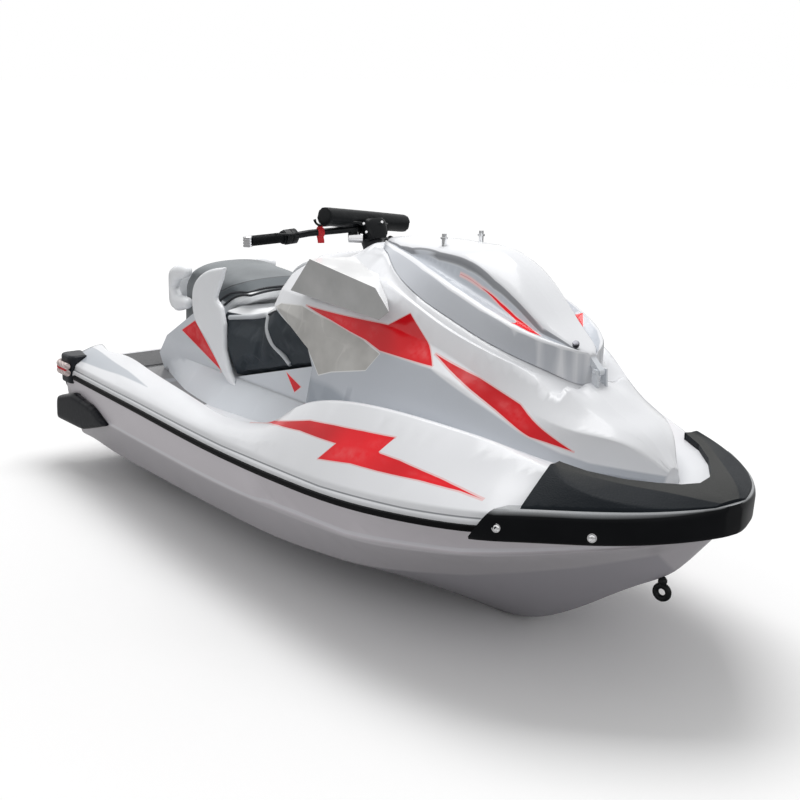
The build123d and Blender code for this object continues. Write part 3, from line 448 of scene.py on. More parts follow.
@dataclass(frozen=True)
class Sheen:
    """Panel painted with a reflection: brown-grey clouds and pale streaks, its glare stronger at
    its lower after corner.
    """

    band: Band
    colour: Colour
    deep: Colour
    streak: Colour = (0.74, 0.72, 0.69)
    edge: Colour = (0.80, 0.80, 0.80)
    rim: float = 0.003
    fade: float = 0.001
    inner_fade: float = 0.0015
    corner: tuple[float, float] = (0.14, 0.72)
    cells: float = 9.0
    warp: float = 0.2

    def paint(self, made: Shader, ground: Any) -> Socket:
        """Lay the panel over a colour.

        Args:
            made: Material being made.
            ground: Colour underneath.

        Returns:
            The colour with the panel on it.
        """
        x, _, z = made.axes()
        depth = self.band.depth(made)
        # Painted reflection: brown-grey clouds, a pale glare at the lower after corner and pale
        # streaks.
        cloud = made.blend(made.noise(7.0, 3.0).step(0.35, 0.65), self.deep, self.colour)
        low = (self.corner[1] - z).step(-0.05, 0.06) * (self.corner[0] - x).step(-0.08, 0.08)
        reflected_glare = low * made.noise(16.0, 4.0).step(0.42, 0.62) * 0.6
        cloud = made.blend(reflected_glare, cloud, self.streak)
        streaked_reflection = made.blend(self.veins(made) * 0.5, cloud, self.streak)
        edged = made.blend(depth.step(-self.rim, -self.rim + self.fade), ground, self.edge)
        return made.blend(depth.step(0.0, self.inner_fade), edged, streaked_reflection)

    def veins(self, made: Shader) -> Socket:
        """Pale streaks of the painted reflection: thin lines between cells whose places are bent by
        noise, faded out in patches.

        Args:
            made: Material being made.

        Returns:
            One on a streak and zero off it.
        """
        bent = {"0": made.place(), "1": made.noise(6.0, 3.0) * self.warp}
        where = made.node("ShaderNodeVectorMath", {"operation": "ADD"}, bent)
        cells = {"Vector": where, "Scale": self.cells}
        settings = {"feature": "DISTANCE_TO_EDGE"}
        away = made.node("ShaderNodeTexVoronoi", settings, cells, "Distance")
        return (1.0 - away.step(0.01, 0.05)) * made.noise(7.0, 1.0).step(0.42, 0.6)


Layer = Decal | Area | Stroke | Sheen


# Finishes


@dataclass(frozen=True)
class Gelcoat:
    """Polished pearl gelcoat with its painted layers, fine flake and faint waviness."""

    name: str
    colour: Colour
    layers: tuple[Layer, ...] = ()
    roughness: float = 0.2
    coat: float = 0.08
    shine: float = 0.24
    uneven: float = 0.03
    flake: float = 2600.0
    coat_roughness: float = 0.06
    wave: float = 0.0012

    def shader(self) -> Shader:
        """Build the material.

        Returns:
            The finished shader.
        """
        made = Shader(self.name)
        drift = made.noise(2.2, 3.0).step(0.3, 0.7)
        flake = made.noise(self.flake, 1.0).step(0.4, 0.62)
        low = tinted(self.colour, 1.0 - 2.0 * self.uneven)
        high = tinted(self.colour, 1.0 + self.uneven)
        colour = made.blend(drift * 0.7 + flake * 0.3, low, high)
        for layer in self.layers:
            colour = layer.paint(made, colour)
        made.feed("Base Color", colour)
        made.feed("Roughness", made.noise(3.0, 1.0) * 0.04 + self.roughness - 0.02)
        made.feed("Specular IOR Level", self.shine)
        made.feed("Coat Weight", self.coat)
        made.feed("Coat Roughness", self.coat_roughness)
        made.bump(made.noise(7.0, 1.0), self.wave, 0.3)
        return made


@dataclass(frozen=True)
class Plain:
    """A finish of one colour with fine variation of colour, gloss and grain."""

    name: str
    colour: Colour
    roughness: float
    metallic: float = 0.0
    coat: float = 0.0
    grain: float = 900.0
    depth: float = 0.0002
    uneven: float = 0.08
    wear: float = 0.0
    shine: float = 0.5

    def shader(self) -> Shader:
        """Build the material.

        Returns:
            The finished shader.
        """
        made = Shader(self.name)
        patches = made.noise(6.0, 4.0)
        darker = tinted(self.colour, 1.0 - self.uneven)
        lighter = tinted(self.colour, 1.0 + self.uneven)
        colour = made.blend(patches.step(0.3, 0.7), darker, lighter)
        if self.wear:
            scratches = made.noise(60.0, 8.0).step(0.55, 0.72)
            chafed = scratches * made.noise(5.0, 2.0).step(0.45, 0.7) * self.wear
            colour = made.blend(chafed, colour, tinted(self.colour, 1.5, 0.05))
        made.feed("Base Color", colour)
        made.feed("Roughness", (patches - 0.5) * 0.15 + self.roughness)
        made.feed("Metallic", self.metallic)
        made.feed("Coat Weight", self.coat)
        made.feed("Specular IOR Level", self.shine)
        made.bump(made.noise(self.grain, 2.0), self.depth, 0.6)
        return made


@dataclass(frozen=True)
class Vinyl:
    """Stretched marine vinyl with pores, faint creases, panels of other colours and seams."""

    name: str
    colour: Colour
    layers: tuple[Layer, ...] = ()
    seams: tuple[Stroke, ...] = ()
    roughness: float = 0.46
    shine: float = 0.3
    pore: float = 420.0
    relief: float = 0.0009

    def shader(self) -> Shader:
        """Build the material.

        Returns:
            The finished shader.
        """
        made = Shader(self.name)
        cells = {"Vector": made.place(), "Scale": self.pore}
        pores = made.node("ShaderNodeTexVoronoi", {}, cells, "Distance")
        creases = made.noise(26.0, 4.0)
        low, high = tinted(self.colour, 0.86), tinted(self.colour, 1.1)
        colour = made.blend(made.noise(7.0, 3.0).step(0.3, 0.7), low, high)
        for layer in self.layers:
            colour = layer.paint(made, colour)
        relief = pores * 0.25 + creases * 0.6
        for seam in self.seams:
            pressed = seam.mask(made)
            colour = made.blend(pressed * 0.7, colour, seam.colour)
            relief = relief - pressed * 3.0
        made.feed("Base Color", colour)
        made.feed("Roughness", pores * 0.12 + self.roughness)
        made.feed("Specular IOR Level", self.shine)
        made.bump(relief, self.relief, 0.6)
        return made


@dataclass(frozen=True)
class Mat:
    """Grey foam deck mat with rows of small raised dots."""

    name: str
    colour: Colour
    pitch: float = 0.011
    relief: float = 0.0012

    def shader(self) -> Shader:
        """Build the material; a dot's height is the product of two sine waves across and along.

        Returns:
            The finished shader.
        """
        made = Shader(self.name)
        x, y, _ = made.axes()
        turn = 2.0 * math.pi / self.pitch
        dots = ((x + y) * turn).sine() * ((x - y) * turn).sine()
        raised = dots.step(0.05, 0.4)
        share = raised * 0.8 + made.noise(40.0, 4.0) * 0.2
        made.feed("Base Color", made.blend(share, tinted(self.colour, 0.55), self.colour))
        made.feed("Roughness", raised * -0.1 + 0.85)
        made.bump(raised, self.relief, 0.9)
        return made


@dataclass(frozen=True)
class Faced:
    """Moulding painted light on its top and shade on its upright faces, as if lit from above, with
    a grain.

    turn gives how far upward a face leans where the side's colour starts to give way to the
    top's, and where it has given way.
    """

    name: str
    top: Colour
    side: Colour
    grain: float = 240.0
    depth: float = 0.0012
    roughness: float = 0.42
    shine: float = 0.15
    coat: float = 0.0
    turn: tuple[float, float] = (0.55, 0.8)

    def shader(self) -> Shader:
        """Build the material.

        Returns:
            The finished shader.
        """
        made = Shader(self.name)
        facing = made.node("ShaderNodeNewGeometry", {}, {}, "Normal")
        # Painted light and shade: faces that look up take the lit top colour, upright faces the
        # shaded side colour.
        upward = made.node("ShaderNodeSeparateXYZ", {}, {"Vector": facing}, "Z").step(*self.turn)
        specks = made.noise(self.grain, 4.0)
        clouds = made.noise(7.0, 4.0).step(0.35, 0.7)
        top = made.blend(specks.step(0.35, 0.7), self.top, tinted(self.top, 1.3, 0.004))
        side = made.blend(clouds, self.side, tinted(self.side, 1.25, 0.002))
        made.feed("Base Color", made.blend(upward, side, top))
        made.feed("Roughness", specks * 0.15 + self.roughness)
        made.feed("Specular IOR Level", self.shine)
        made.feed("Coat Weight", self.coat)
        made.bump(specks, self.depth, 0.8)
        return made


@dataclass(frozen=True)
class Braid:
    """Woven cord, webbing or rope with slanting strands and soiled patches."""

    name: str
    colour: Colour
    mark: Colour
    pitch: float = 0.03
    relief: float = 0.0012

    def shader(self) -> Shader:
        """Build the material; strands are a sine wave that runs slantwise over the piece.

        Returns:
            The finished shader.
        """
        made = Shader(self.name)
        x, y, z = made.axes()
        turn = 2.0 * math.pi / self.pitch
        strands = ((x + y + z * 1.5) * turn).sine().step(-0.6, 0.6)
        soiled = made.noise(30.0, 5.0).step(0.5, 0.7)
        woven = made.blend(strands * 0.7 + 0.3, tinted(self.colour, 0.6), self.colour)
        made.feed("Base Color", made.blend(soiled * 0.6, woven, self.mark))
        made.feed("Roughness", strands * -0.15 + 0.75)
        made.bump(strands + made.noise(500.0, 2.0) * 0.4, self.relief, 0.8)
        return made


# Drawn lines, in metres in the craft's frame

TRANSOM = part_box("hull")[0].x
STATION = 0.1


def stations(*rows: tuple[float, float]) -> Line:
    """Line given by station numbers counted from the transom, in metres along the craft."""
    return tuple((TRANSOM + station * STATION, over) for station, over in rows)


def shifted(line: Line, rise: float) -> Line:
    """The same line, moved up or out."""
    return tuple((x, over + rise) for x, over in line)


def ground_of(line: Line, level: float = 0.0) -> Line:
    """Level line under a line, from its first place to its last."""
    return ((line[0][0], level), (line[-1][0], level))


# Edges that run the length of the hull and the hood
GUNWALE = stations(
    (0, 0.382), (7, 0.396), (13.9, 0.402), (19.5, 0.422), (23, 0.450), (25.4, 0.474))
STEP_LINE = stations(
    (0, 0.257), (6, 0.262), (14, 0.279), (20, 0.307), (24, 0.357), (27, 0.417), (28.6, 0.461),
    (29.35, 0.51))
CHINE_LINE = stations(
    (0, 0.118), (6, 0.122), (14, 0.132), (19, 0.165), (23, 0.236), (26, 0.326), (28, 0.406))
KNUCKLE = stations(
    (9.9, 0.806), (11.5, 0.816), (13.5, 0.82), (15.5, 0.812), (18.4, 0.796), (20.9, 0.784),
    (23, 0.716), (24.5, 0.662), (25.3, 0.63), (26, 0.612), (27.6, 0.594))

# Outlines of the red graphics
CONSOLE_ARROW = Band(
    ((0.010, 0.8615), (0.090, 0.8625), (0.248, 0.863), (0.418, 0.8645), (0.497, 0.910),
     (0.657, 0.788)),
    ((0.010, 0.861), (0.158, 0.842), (0.268, 0.823), (0.353, 0.811), (0.429, 0.793),
     (0.657, 0.7875)))
BOW_WEDGE = Band(
    ((0.636, 0.8165), (0.805, 0.776), (0.955, 0.731), (1.127, 0.634)),
    ((0.636, 0.8155), (0.763, 0.767), (0.901, 0.710), (1.021, 0.659), (1.127, 0.6335)))
BOLT_REAR = Band(
    ((-0.021, 0.4985), (0.194, 0.553), (0.344, 0.589), (0.465, 0.602), (0.591, 0.611),
     (0.707, 0.6165)),
    ((-0.021, 0.498), (0.194, 0.542), (0.323, 0.556), (0.430, 0.559), (0.514, 0.562),
     (0.681, 0.573), (0.707, 0.616)))
BOLT_FRONT = Band(
    ((0.464, 0.5105), (0.514, 0.566), (0.600, 0.580), (0.681, 0.577), (0.690, 0.5735),
     (0.766, 0.571), (0.913, 0.557), (1.073, 0.5375)),
    ((0.464, 0.510), (0.604, 0.529), (0.720, 0.534), (0.866, 0.542), (0.999, 0.542),
     (1.073, 0.537)))
BASE_TRIANGLE = Band(
    ((-0.965, 0.6055), (-0.861, 0.659), (-0.664, 0.5015)), ((-0.965, 0.605), (-0.664, 0.501)))
BASE_ARROW = Band(
    ((-0.2325, 0.5845), (-0.1425, 0.551)),
    ((-0.2325, 0.584), (-0.1825, 0.524), (-0.1425, 0.5505)))
LID_ARROW = Band(
    ((0.582, 0.1165), (0.754, 0.1135), (0.811, 0.108), (0.822, 0.109), (0.833, 0.139),
     (0.894, 0.0815)),
    ((0.582, 0.1155), (0.672, 0.114), (0.754, 0.109), (0.811, 0.101), (0.894, 0.081)), View.PLAN)

# Outlines of the cowl's painted reflection, the lid's rim and groove, the floor mat, and the
# painted shade and highlight on facets and edges
COWL = Band(
    ((-0.21, 0.8205), (-0.169, 0.838), (-0.016, 0.856), (0.159, 0.839), (0.268, 0.823),
     (0.345, 0.809), (0.433, 0.7845)),
    ((-0.21, 0.82), (-0.068, 0.782), (0.076, 0.738), (0.129, 0.699), (0.162, 0.671),
     (0.226, 0.693), (0.391, 0.729), (0.433, 0.784)))
LID_RIM = (
    (0.1175, 0.042), (0.1675, 0.074), (0.2475, 0.106), (0.3275, 0.124), (0.4545, 0.153),
    (0.5915, 0.168), (0.7335, 0.167), (0.8575, 0.148), (0.9275, 0.118), (0.9775, 0.082),
    (1.0025, 0.05), (1.0175, 0.02))
LID_GROOVE = (
    (0.1175, 0.03), (0.1675, 0.052), (0.2475, 0.08), (0.3275, 0.096), (0.4775, 0.108),
    (0.6075, 0.108), (0.7175, 0.103), (0.7775, 0.094), (0.8875, 0.074), (0.9775, 0.044),
    (1.0025, 0.028), (1.0175, 0.011))
RIM_WIDTH = 0.014
PAST_RIM = 0.3
# Facet on the gunwale's top that is painted in shade.
FACET_SHADE = Band(
    ((-1.46, 0.44), (-1.0, 0.452), (-0.72, 0.468)),
    ((-1.46, 0.345), (-1.346, 0.360), (-0.972, 0.414), (-0.72, 0.462)), View.PLAN)
FLOOR_MAT = Band(((-1.172, 0.315), (-0.6, 0.315)), ((-1.172, -0.1), (-0.6, -0.1)), View.PLAN)
# Line below which the hood's foot is painted in shade.
FLARE = ((-0.1, 0.665), (0.25, 0.66), (0.55, 0.60))
RAIL_SHADOW = 0.025
# Width of the painted highlight along the hull's step.
STEP_EDGE = 0.012

# Areas that keep the graphics on the faces that carry them
SHOULDER = Band(
    ((-0.1, 0.7), (1.2, 0.7)),
    ((-0.1, 0.452), (0.2, 0.452), (0.46, 0.43), (0.70, 0.40), (1.2, 0.32)), View.PLAN)
OUTSIDE = Band(
    ((-0.2, 0.7), (1.3, 0.7)),
    ((-0.2, 0.225), (0.70, 0.225), (0.80, 0.19), (0.90, 0.16), (1.0, 0.12), (1.3, 0.03)),
    View.PLAN)
LID_TOP = Band(
    ((0.5, 1.3), (1.0, 1.3)),
    ((0.5, 1.03), (0.58, 1.022), (0.70, 0.990), (0.80, 0.933), (0.833, 0.914), (0.90, 0.890)))

# Finishes of the mouldings

PEARL = (0.86, 0.87, 0.895)
MAT_GREY = (0.20, 0.20, 0.205)
# Painted shade in the lid's sunken panel.
PANEL_SHADE = (0.47, 0.51, 0.57)
SHADE = (0.33, 0.36, 0.41)
# Dark line painted in grooves: painted shade.
GROOVE_SHADE = (0.30, 0.31, 0.33)

DECK = Gelcoat("deck_gelcoat", PEARL, (
    # Painted shade on the gunwale's facet.
    Area(FACET_SHADE, (0.40, 0.44, 0.49), 0.75, 0.006),
    Area(FLOOR_MAT, MAT_GREY),
    Decal((BOLT_REAR, BOLT_FRONT), limit=SHOULDER),
    # Painted shade in the groove above the rubbing rail.
    Stroke(shifted(GUNWALE, RAIL_SHADOW), GROOVE_SHADE, 0.004),
))
HOOD = Gelcoat("hood_gelcoat", PEARL, (
    # Painted shade on the hood's side below the knuckle.
    Area(Band(KNUCKLE, ground_of(KNUCKLE)), (0.34, 0.38, 0.44), 0.62, 0.006),
    # Painted shade, deeper at the hood's foot below the flare line.
    Area(Band(FLARE, ground_of(FLARE)), (0.22, 0.26, 0.31), 0.45, 0.02),
    # Painted reflection on the cowl.
    Sheen(COWL, (0.60, 0.59, 0.565), (0.45, 0.44, 0.42)),
    Decal((CONSOLE_ARROW, BOW_WEDGE), limit=OUTSIDE),
))
# Pearl gelcoat painted darker and bluer on the pedestal and the hinge parts: painted shade.
BASE = Gelcoat("base_gelcoat", (0.73, 0.76, 0.80), (Decal((BASE_TRIANGLE, BASE_ARROW)),))
# Pearl gelcoat painted brighter on the fairings and the grab handle: painted light.
HORN = Gelcoat("horn_gelcoat", (0.94, 0.955, 0.985))
LID = Gelcoat("lid_gelcoat", (0.82, 0.83, 0.855), (
    Area(Band(shifted(LID_RIM, PAST_RIM), LID_RIM, View.PLAN), SHADE, 0.55),
    # Painted shade in the lid's sunken panel.
    Area(Band(shifted(LID_RIM, -RIM_WIDTH), LID_GROOVE, View.PLAN), PANEL_SHADE, 0.75, 0.004),
    # Painted shadow in the groove under the lid's crown.
    Stroke(LID_GROOVE, GROOVE_SHADE, 0.004, View.PLAN),
    Decal((LID_ARROW,), rim=0.002, limit=LID_TOP),
))
HULL = Gelcoat("hull_gelcoat", (0.70, 0.665, 0.70), (
    # Painted shade below the step, darker still below the chine, and a painted highlight along the
    # step's upper edge.
    Area(Band(STEP_LINE, ground_of(STEP_LINE)), (0.47, 0.455, 0.48), 0.75, 0.006),
    Area(Band(CHINE_LINE, ground_of(CHINE_LINE)), (0.33, 0.32, 0.36), 0.6, 0.01),
    Area(Band(shifted(STEP_LINE, STEP_EDGE), STEP_LINE), (0.75, 0.74, 0.78), 0.9, 0.001),
), roughness=0.26, coat=0.1)
# Pods painted light on their tops, and with painted shade and reflection on their sides.
POD = Faced("pod_gloss", (0.88, 0.885, 0.895), (0.43, 0.43, 0.425), grain=5.0, depth=0.0002,
            roughness=0.14, shine=0.4, coat=0.3, turn=(0.35, 0.6))


# Shapes and pieces


def smooth_path(knots: Sequence[Sequence[float]], count: int) -> np.ndarray:
    """Smooth path through points, in cubic pieces.

    The slope at a point is half the step between its neighbours.

    Args:
        knots: Points that the path passes, in metres.
        count: Number of points wanted.

    Returns:
        The points, count by 3.
    """
    fixed = np.asarray(knots, float)
    ends = np.vstack([2 * fixed[0] - fixed[1], fixed, 2 * fixed[-1] - fixed[-2]])
    place = np.linspace(0.0, len(fixed) - 1.0, count)
    piece = np.minimum(place.astype(int), len(fixed) - 2)
    t = (place - piece)[:, None]
    a, b, c, d = (ends[piece + k] for k in range(4))
    square = (2 * a - 5 * b + 4 * c - d) * t**2
    cube = (3 * b - a - 3 * c + d) * t**3
    return 0.5 * (2 * b + (c - a) * t + square + cube)


def unit(vectors: np.ndarray) -> np.ndarray:
    """The same directions, one long."""
    return vectors / np.linalg.norm(vectors, axis=-1, keepdims=True)


def swept(path: np.ndarray, outline: np.ndarray, scale: np.ndarray | float = 1.0,
          up: Sequence[float] = (0.0, 0.0, 1.0)) -> np.ndarray:
    """Outline carried along a path.

    point(i, j) = path(i) + scale(i) * (side(i) * u(j) + lift(i) * v(j)).

    Args:
        path: Points of the path, n by 3.
        outline: Points (u, v) of the closed outline, m by 2.
        scale: One factor, or one for each point of the path.
        up: Direction that lift leans towards.

    Returns:
        Grid of points, n by m by 3.
    """
    run = unit(np.gradient(path, axis=0))
    side = unit(np.cross(run, np.asarray(up, float)))
    lift = np.cross(side, run)
    factor = np.broadcast_to(np.asarray(scale, float), len(path))[:, None, None]
    spread = side[:, None] * outline[None, :, :1] + lift[:, None] * outline[None, :, 1:]
    return path[:, None] + factor * spread


def circle(radius: float, sides: int = 14) -> np.ndarray:
    """Points (u, v) round a circle."""
    turn = np.arange(sides) * 2 * np.pi / sides
    return radius * np.stack([np.cos(turn), np.sin(turn)], axis=1)


def rounded_box(power: float, sides: int) -> np.ndarray:
    """Outline of a box with full corners: u = sign(cos t) * |cos t| ** power, and v with sin t.

    Args:
        power: One gives a circle; less gives a squarer outline.
        sides: Points round it.

    Returns:
        The outline, sides by 2.
    """
    turn = np.linspace(0.0, 2 * np.pi, sides + 1)[:-1]
    waves = (np.cos(turn), np.sin(turn))
    return np.column_stack([np.sign(wave) * np.abs(wave) ** power for wave in waves])


def turned(profile: Sequence[tuple[float, float]], foot: Sequence[float], axis: Sequence[float],
           sides: int = 28) -> np.ndarray:
    """Profile turned about an axis.

    point(i, j) = foot + axis * s(i) + r(i) * (a * cos j + b * sin j).

    Args:
        profile: Pairs of distance along the axis and radius.
        foot: Where the distance is zero.
        axis: Direction of the axis.
        sides: Points round it.

    Returns:
        Grid of points, profile by sides by 3.
    """
    along = unit(np.asarray(axis, float))
    helper = np.array([1.0, 0.0, 0.0]) if abs(along[0]) < 0.9 else np.array([0.0, 1.0, 0.0])
    a = unit(np.cross(along, helper))
    b = np.cross(along, a)
    s, r = np.asarray(profile, float).T
    turn = np.arange(sides) * 2 * np.pi / sides
    ring = a * np.cos(turn)[:, None] + b * np.sin(turn)[:, None]
    return np.asarray(foot, float) + s[:, None, None] * along + r[:, None, None] * ring


def solid(name: str, grids: Sequence[np.ndarray],
          sharp: float = SOFT_EDGE) -> bpy.types.Object:
    """Closed solids as one piece: a grid's columns run round it and its ends are filled.

    Args:
        name: The piece's name.
        grids: Grids of points, rows by columns by 3.
        sharp: Angle in degrees above which an edge stays sharp.

    Returns:
        The object, in the scene.
    """
    points, faces, start = [], [], 0
    for grid in grids:
        rows, columns = grid.shape[:2]
        index = np.arange(rows * columns).reshape(rows, columns) + start
        after = np.roll(index, -1, axis=1)
        quads = np.stack([index[:-1], after[:-1], after[1:], index[1:]], axis=-1).reshape(-1, 4)
        faces += quads.tolist() + [index[0].tolist(), index[-1, ::-1].tolist()]
        points.append(grid.reshape(-1, 3))
        start += rows * columns
    return finished(name, np.concatenate(points), faces, sharp)


def finished(name: str, points: np.ndarray, faces: list[list[int]],
             sharp: float) -> bpy.types.Object:
    """Object made of points and faces, with doubles merged and faces turned outwards.

    Args:
        name: The piece's name.
        points: Its points, n by 3.
        faces: Lists of point numbers.
        sharp: Angle in degrees above which an edge stays sharp.

    Returns:
        The object, in the scene.
    """
    mesh = bpy.data.meshes.new(name)
    mesh.from_pydata(points.tolist(), [], faces)
    build = bmesh.new()
    build.from_mesh(mesh)
    bmesh.ops.remove_doubles(build, verts=build.verts, dist=SAME_PLACE)
    bmesh.ops.dissolve_degenerate(build, edges=build.edges, dist=NO_LENGTH)
    bmesh.ops.recalc_face_normals(build, faces=build.faces)
    build.to_mesh(mesh)
    build.free()
    soften(mesh, sharp)
    return shown(name, mesh)


def shown(name: str, mesh: Any) -> bpy.types.Object:
    """Put a mesh, a lamp or a camera into the scene.

    Args:
        name: The object's name.
        mesh: Its data.

    Returns:
        The object, at the origin.
    """
    piece = bpy.data.objects.new(name, mesh)
    bpy.context.scene.collection.objects.link(piece)
    return piece


def soften(mesh: bpy.types.Mesh, sharp: float) -> None:
    """Smooth shading everywhere but over edges sharper than an angle in degrees."""
    mesh.polygons.foreach_set("use_smooth", np.ones(len(mesh.polygons), bool))
    mesh.set_sharp_from_angle(angle=math.radians(sharp))


def points_of(mesh: bpy.types.Mesh) -> np.ndarray:
    """The mesh's points, n by 3."""
    return listed(mesh, "co").astype(float)


def normals_of(mesh: bpy.types.Mesh) -> np.ndarray:
    """Outward directions at a mesh's points, n by 3."""
    return listed(mesh, "normal")


def listed(mesh: bpy.types.Mesh, kind: str) -> np.ndarray:
    """Vectors that a mesh holds for its points.

    Args:
        mesh: The mesh.
        kind: Name of the vectors.

    Returns:
        The vectors, n by 3.
    """
    flat = np.empty(len(mesh.vertices) * 3, np.float32)
    mesh.vertices.foreach_get(kind, flat)
    return flat.reshape(-1, 3)


def dress(piece: bpy.types.Object, body: str, slot: str, finish: Any) -> bpy.types.Object:
    """Give a piece its body and its material, and report it.

    Args:
        piece: The finished piece.
        body: The body it rides on.
        slot: The record's material slot; not used.
        finish: Finish that makes its shader.

    Returns:
        The same piece.
    """
    piece.data.materials.clear()
    piece.data.materials.append(painted(finish))
    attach(piece, body)
    points = len(piece.data.vertices)
    LOG.info("%s rides on %s in %s: %d points", piece.name, body, finish.name, points)
    return piece


@lru_cache(maxsize=None)
def painted(finish: Any) -> bpy.types.Material:
    """The one material of a finish."""
    return finish.shader().material


def slot_of(node: str) -> str:
    """The material slot that the record gives a node."""
    parts = frame["record"]["subparts"]
    return next(part["material_slot"] for part in parts if part["node"] == node)


def body_of(node: str) -> str:
    """The body that a CAD node rides on."""
    return frame["nodes"][node]["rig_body"]


def refined(piece: bpy.types.Object) -> None:
    """Smooth shading all over, one subdivision finer.

    Args:
        piece: The piece.
    """
    soften(piece.data, 180.0)
    finer = piece.modifiers.new("finer", "SUBSURF")
    finer.levels = finer.render_levels = 1


@dataclass
class Moulding:
    """Rigid CAD node shown as a merged copy with clean shading over its facets."""

    node: str
    finish: Any
    sharp: float = 28.0
    bevel: float = 0.0
    flat: float = 2.0
    slot: str = ""
    merge: float = 0.00001
    weight: int = 60
    segments: int = 3

    def build(self) -> bpy.types.Object:
        """Copy the node, merge its triangles and dress it.

        Returns:
            The piece that stands for the node.
        """
        mesh = frame["nodes"][self.node].data.copy()
        mesh.name = f"{self.node}_skin"
        build = bmesh.new()
        build.from_mesh(mesh)
        bmesh.ops.remove_doubles(build, verts=build.verts, dist=self.merge)
        if self.bevel:
            limit = math.radians(self.flat)
            bmesh.ops.dissolve_limit(build, angle_limit=limit, verts=build.verts,
                                     edges=build.edges)
        build.to_mesh(mesh)
        build.free()
        soften(mesh, self.sharp)
        piece = shown(f"{self.node}_skin", mesh)
        if self.bevel:
            self.round_edges(piece)
        weighted = piece.modifiers.new("even_shading", "WEIGHTED_NORMAL")
        weighted.mode = "FACE_AREA"
        weighted.weight = self.weight
        weighted.keep_sharp = not self.bevel
        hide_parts(self.node)
        return dress(piece, body_of(self.node), self.slot or slot_of(self.node), self.finish)

    def round_edges(self, piece: bpy.types.Object) -> None:
        """Round the edges that are sharper than the moulding's limit.

        Args:
            piece: The moulding.
        """
        rounding = piece.modifiers.new("rounding", "BEVEL")
        rounding.width = self.bevel
        rounding.segments = self.segments
        rounding.limit_method = "ANGLE"
        rounding.angle_limit = math.radians(self.sharp)


def evened(name: str, node: str, voxel: float, rounds: int) -> bpy.types.Object:
    """Copy of a CAD node, remeshed in small even faces, with its edges eased by smoothing.

    Args:
        name: The piece's name.
        node: The CAD node.
        voxel: Size of the faces, in metres.
        rounds: Number of rounds of smoothing.

    Returns:
        The piece, in the scene.
    """
    piece = shown(name, frame["nodes"][node].data.copy())
    remesh = piece.modifiers.new("remesh", "REMESH")
    remesh.mode = "VOXEL"
    remesh.voxel_size = voxel
    ease = piece.modifiers.new("ease", "SMOOTH")
    ease.factor = 0.5
    ease.iterations = rounds
    taken(piece)
    return piece


def taken(piece: bpy.types.Object) -> None:
    """Apply the piece's modifiers to its mesh.

    Args:
        piece: The piece, left without modifiers.
    """
    final = piece.evaluated_get(bpy.context.evaluated_depsgraph_get())
    mesh = bpy.data.meshes.new_from_object(final)
    piece.modifiers.clear()
    piece.data = mesh


def placed(piece: bpy.types.Object, points: np.ndarray) -> None:
    """Move the piece's points."""
    piece.data.vertices.foreach_set("co", points.astype(np.float32).ravel())
    piece.data.update()


@dataclass
class Eased:
    """Moulded part whose edges are all rounded, shown as an even mesh moved out by a little."""

    node: str
    finish: Any
    voxel: float
    rounds: int
    out: float

    def build(self) -> bpy.types.Object:
        """Make the piece, one subdivision finer, and dress it.

        Returns:
            The piece that stands for the node.
        """
        piece = evened(f"{self.node}_skin", self.node, self.voxel, self.rounds)
        placed(piece, points_of(piece.data) + normals_of(piece.data) * self.out)
        refined(piece)
        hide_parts(self.node)
        return dress(piece, body_of(self.node), slot_of(self.node), self.finish)


# Soft goods


@dataclass(frozen=True)
class Welt:
    """Piping or band, laid on a cushion, its middle raised by a share of its radius."""

    name: str
    radius: float
    finish: Any
    rise: float = 0.3
    rounds: int = 24
    up: Place = (0.05, 1.0, 0.08)

    def build(self, cushion: bpy.types.Object, runs: Sequence[np.ndarray]) -> bpy.types.Object:
        """Lay the piping on the cushion along each run.

        Args:
            cushion: The padded piece that carries it.
            runs: Paths near the cushion's surface, n by 3 each.

        Returns:
            The piping as one piece.
        """
        tree = BVHTree.FromObject(cushion, bpy.context.evaluated_depsgraph_get())
        grids = [swept(self.laid(tree, run), circle(self.radius, 10), up=self.up) for run in runs]
        return dress(solid(self.name, grids), cushion["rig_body"], "seat_vinyl", self.finish)

    def laid(self, tree: BVHTree, run: np.ndarray) -> np.ndarray:
        """Path moved on to the cushion, then evened by averaging each point with its neighbours.

        Args:
            tree: The cushion's surface.
            run: The path, n by 3.

        Returns:
            The path on the surface.
        """
        hits = [tree.find_nearest(Vector(point)) for point in run]
        feet, outward = (np.array([hit[k] for hit in hits]) for k in (0, 1))
        path = feet + outward * self.radius * self.rise
        for _ in range(self.rounds):
            path[1:-1] = (path[:-2] + 2 * path[1:-1] + path[2:]) / 4
        return path


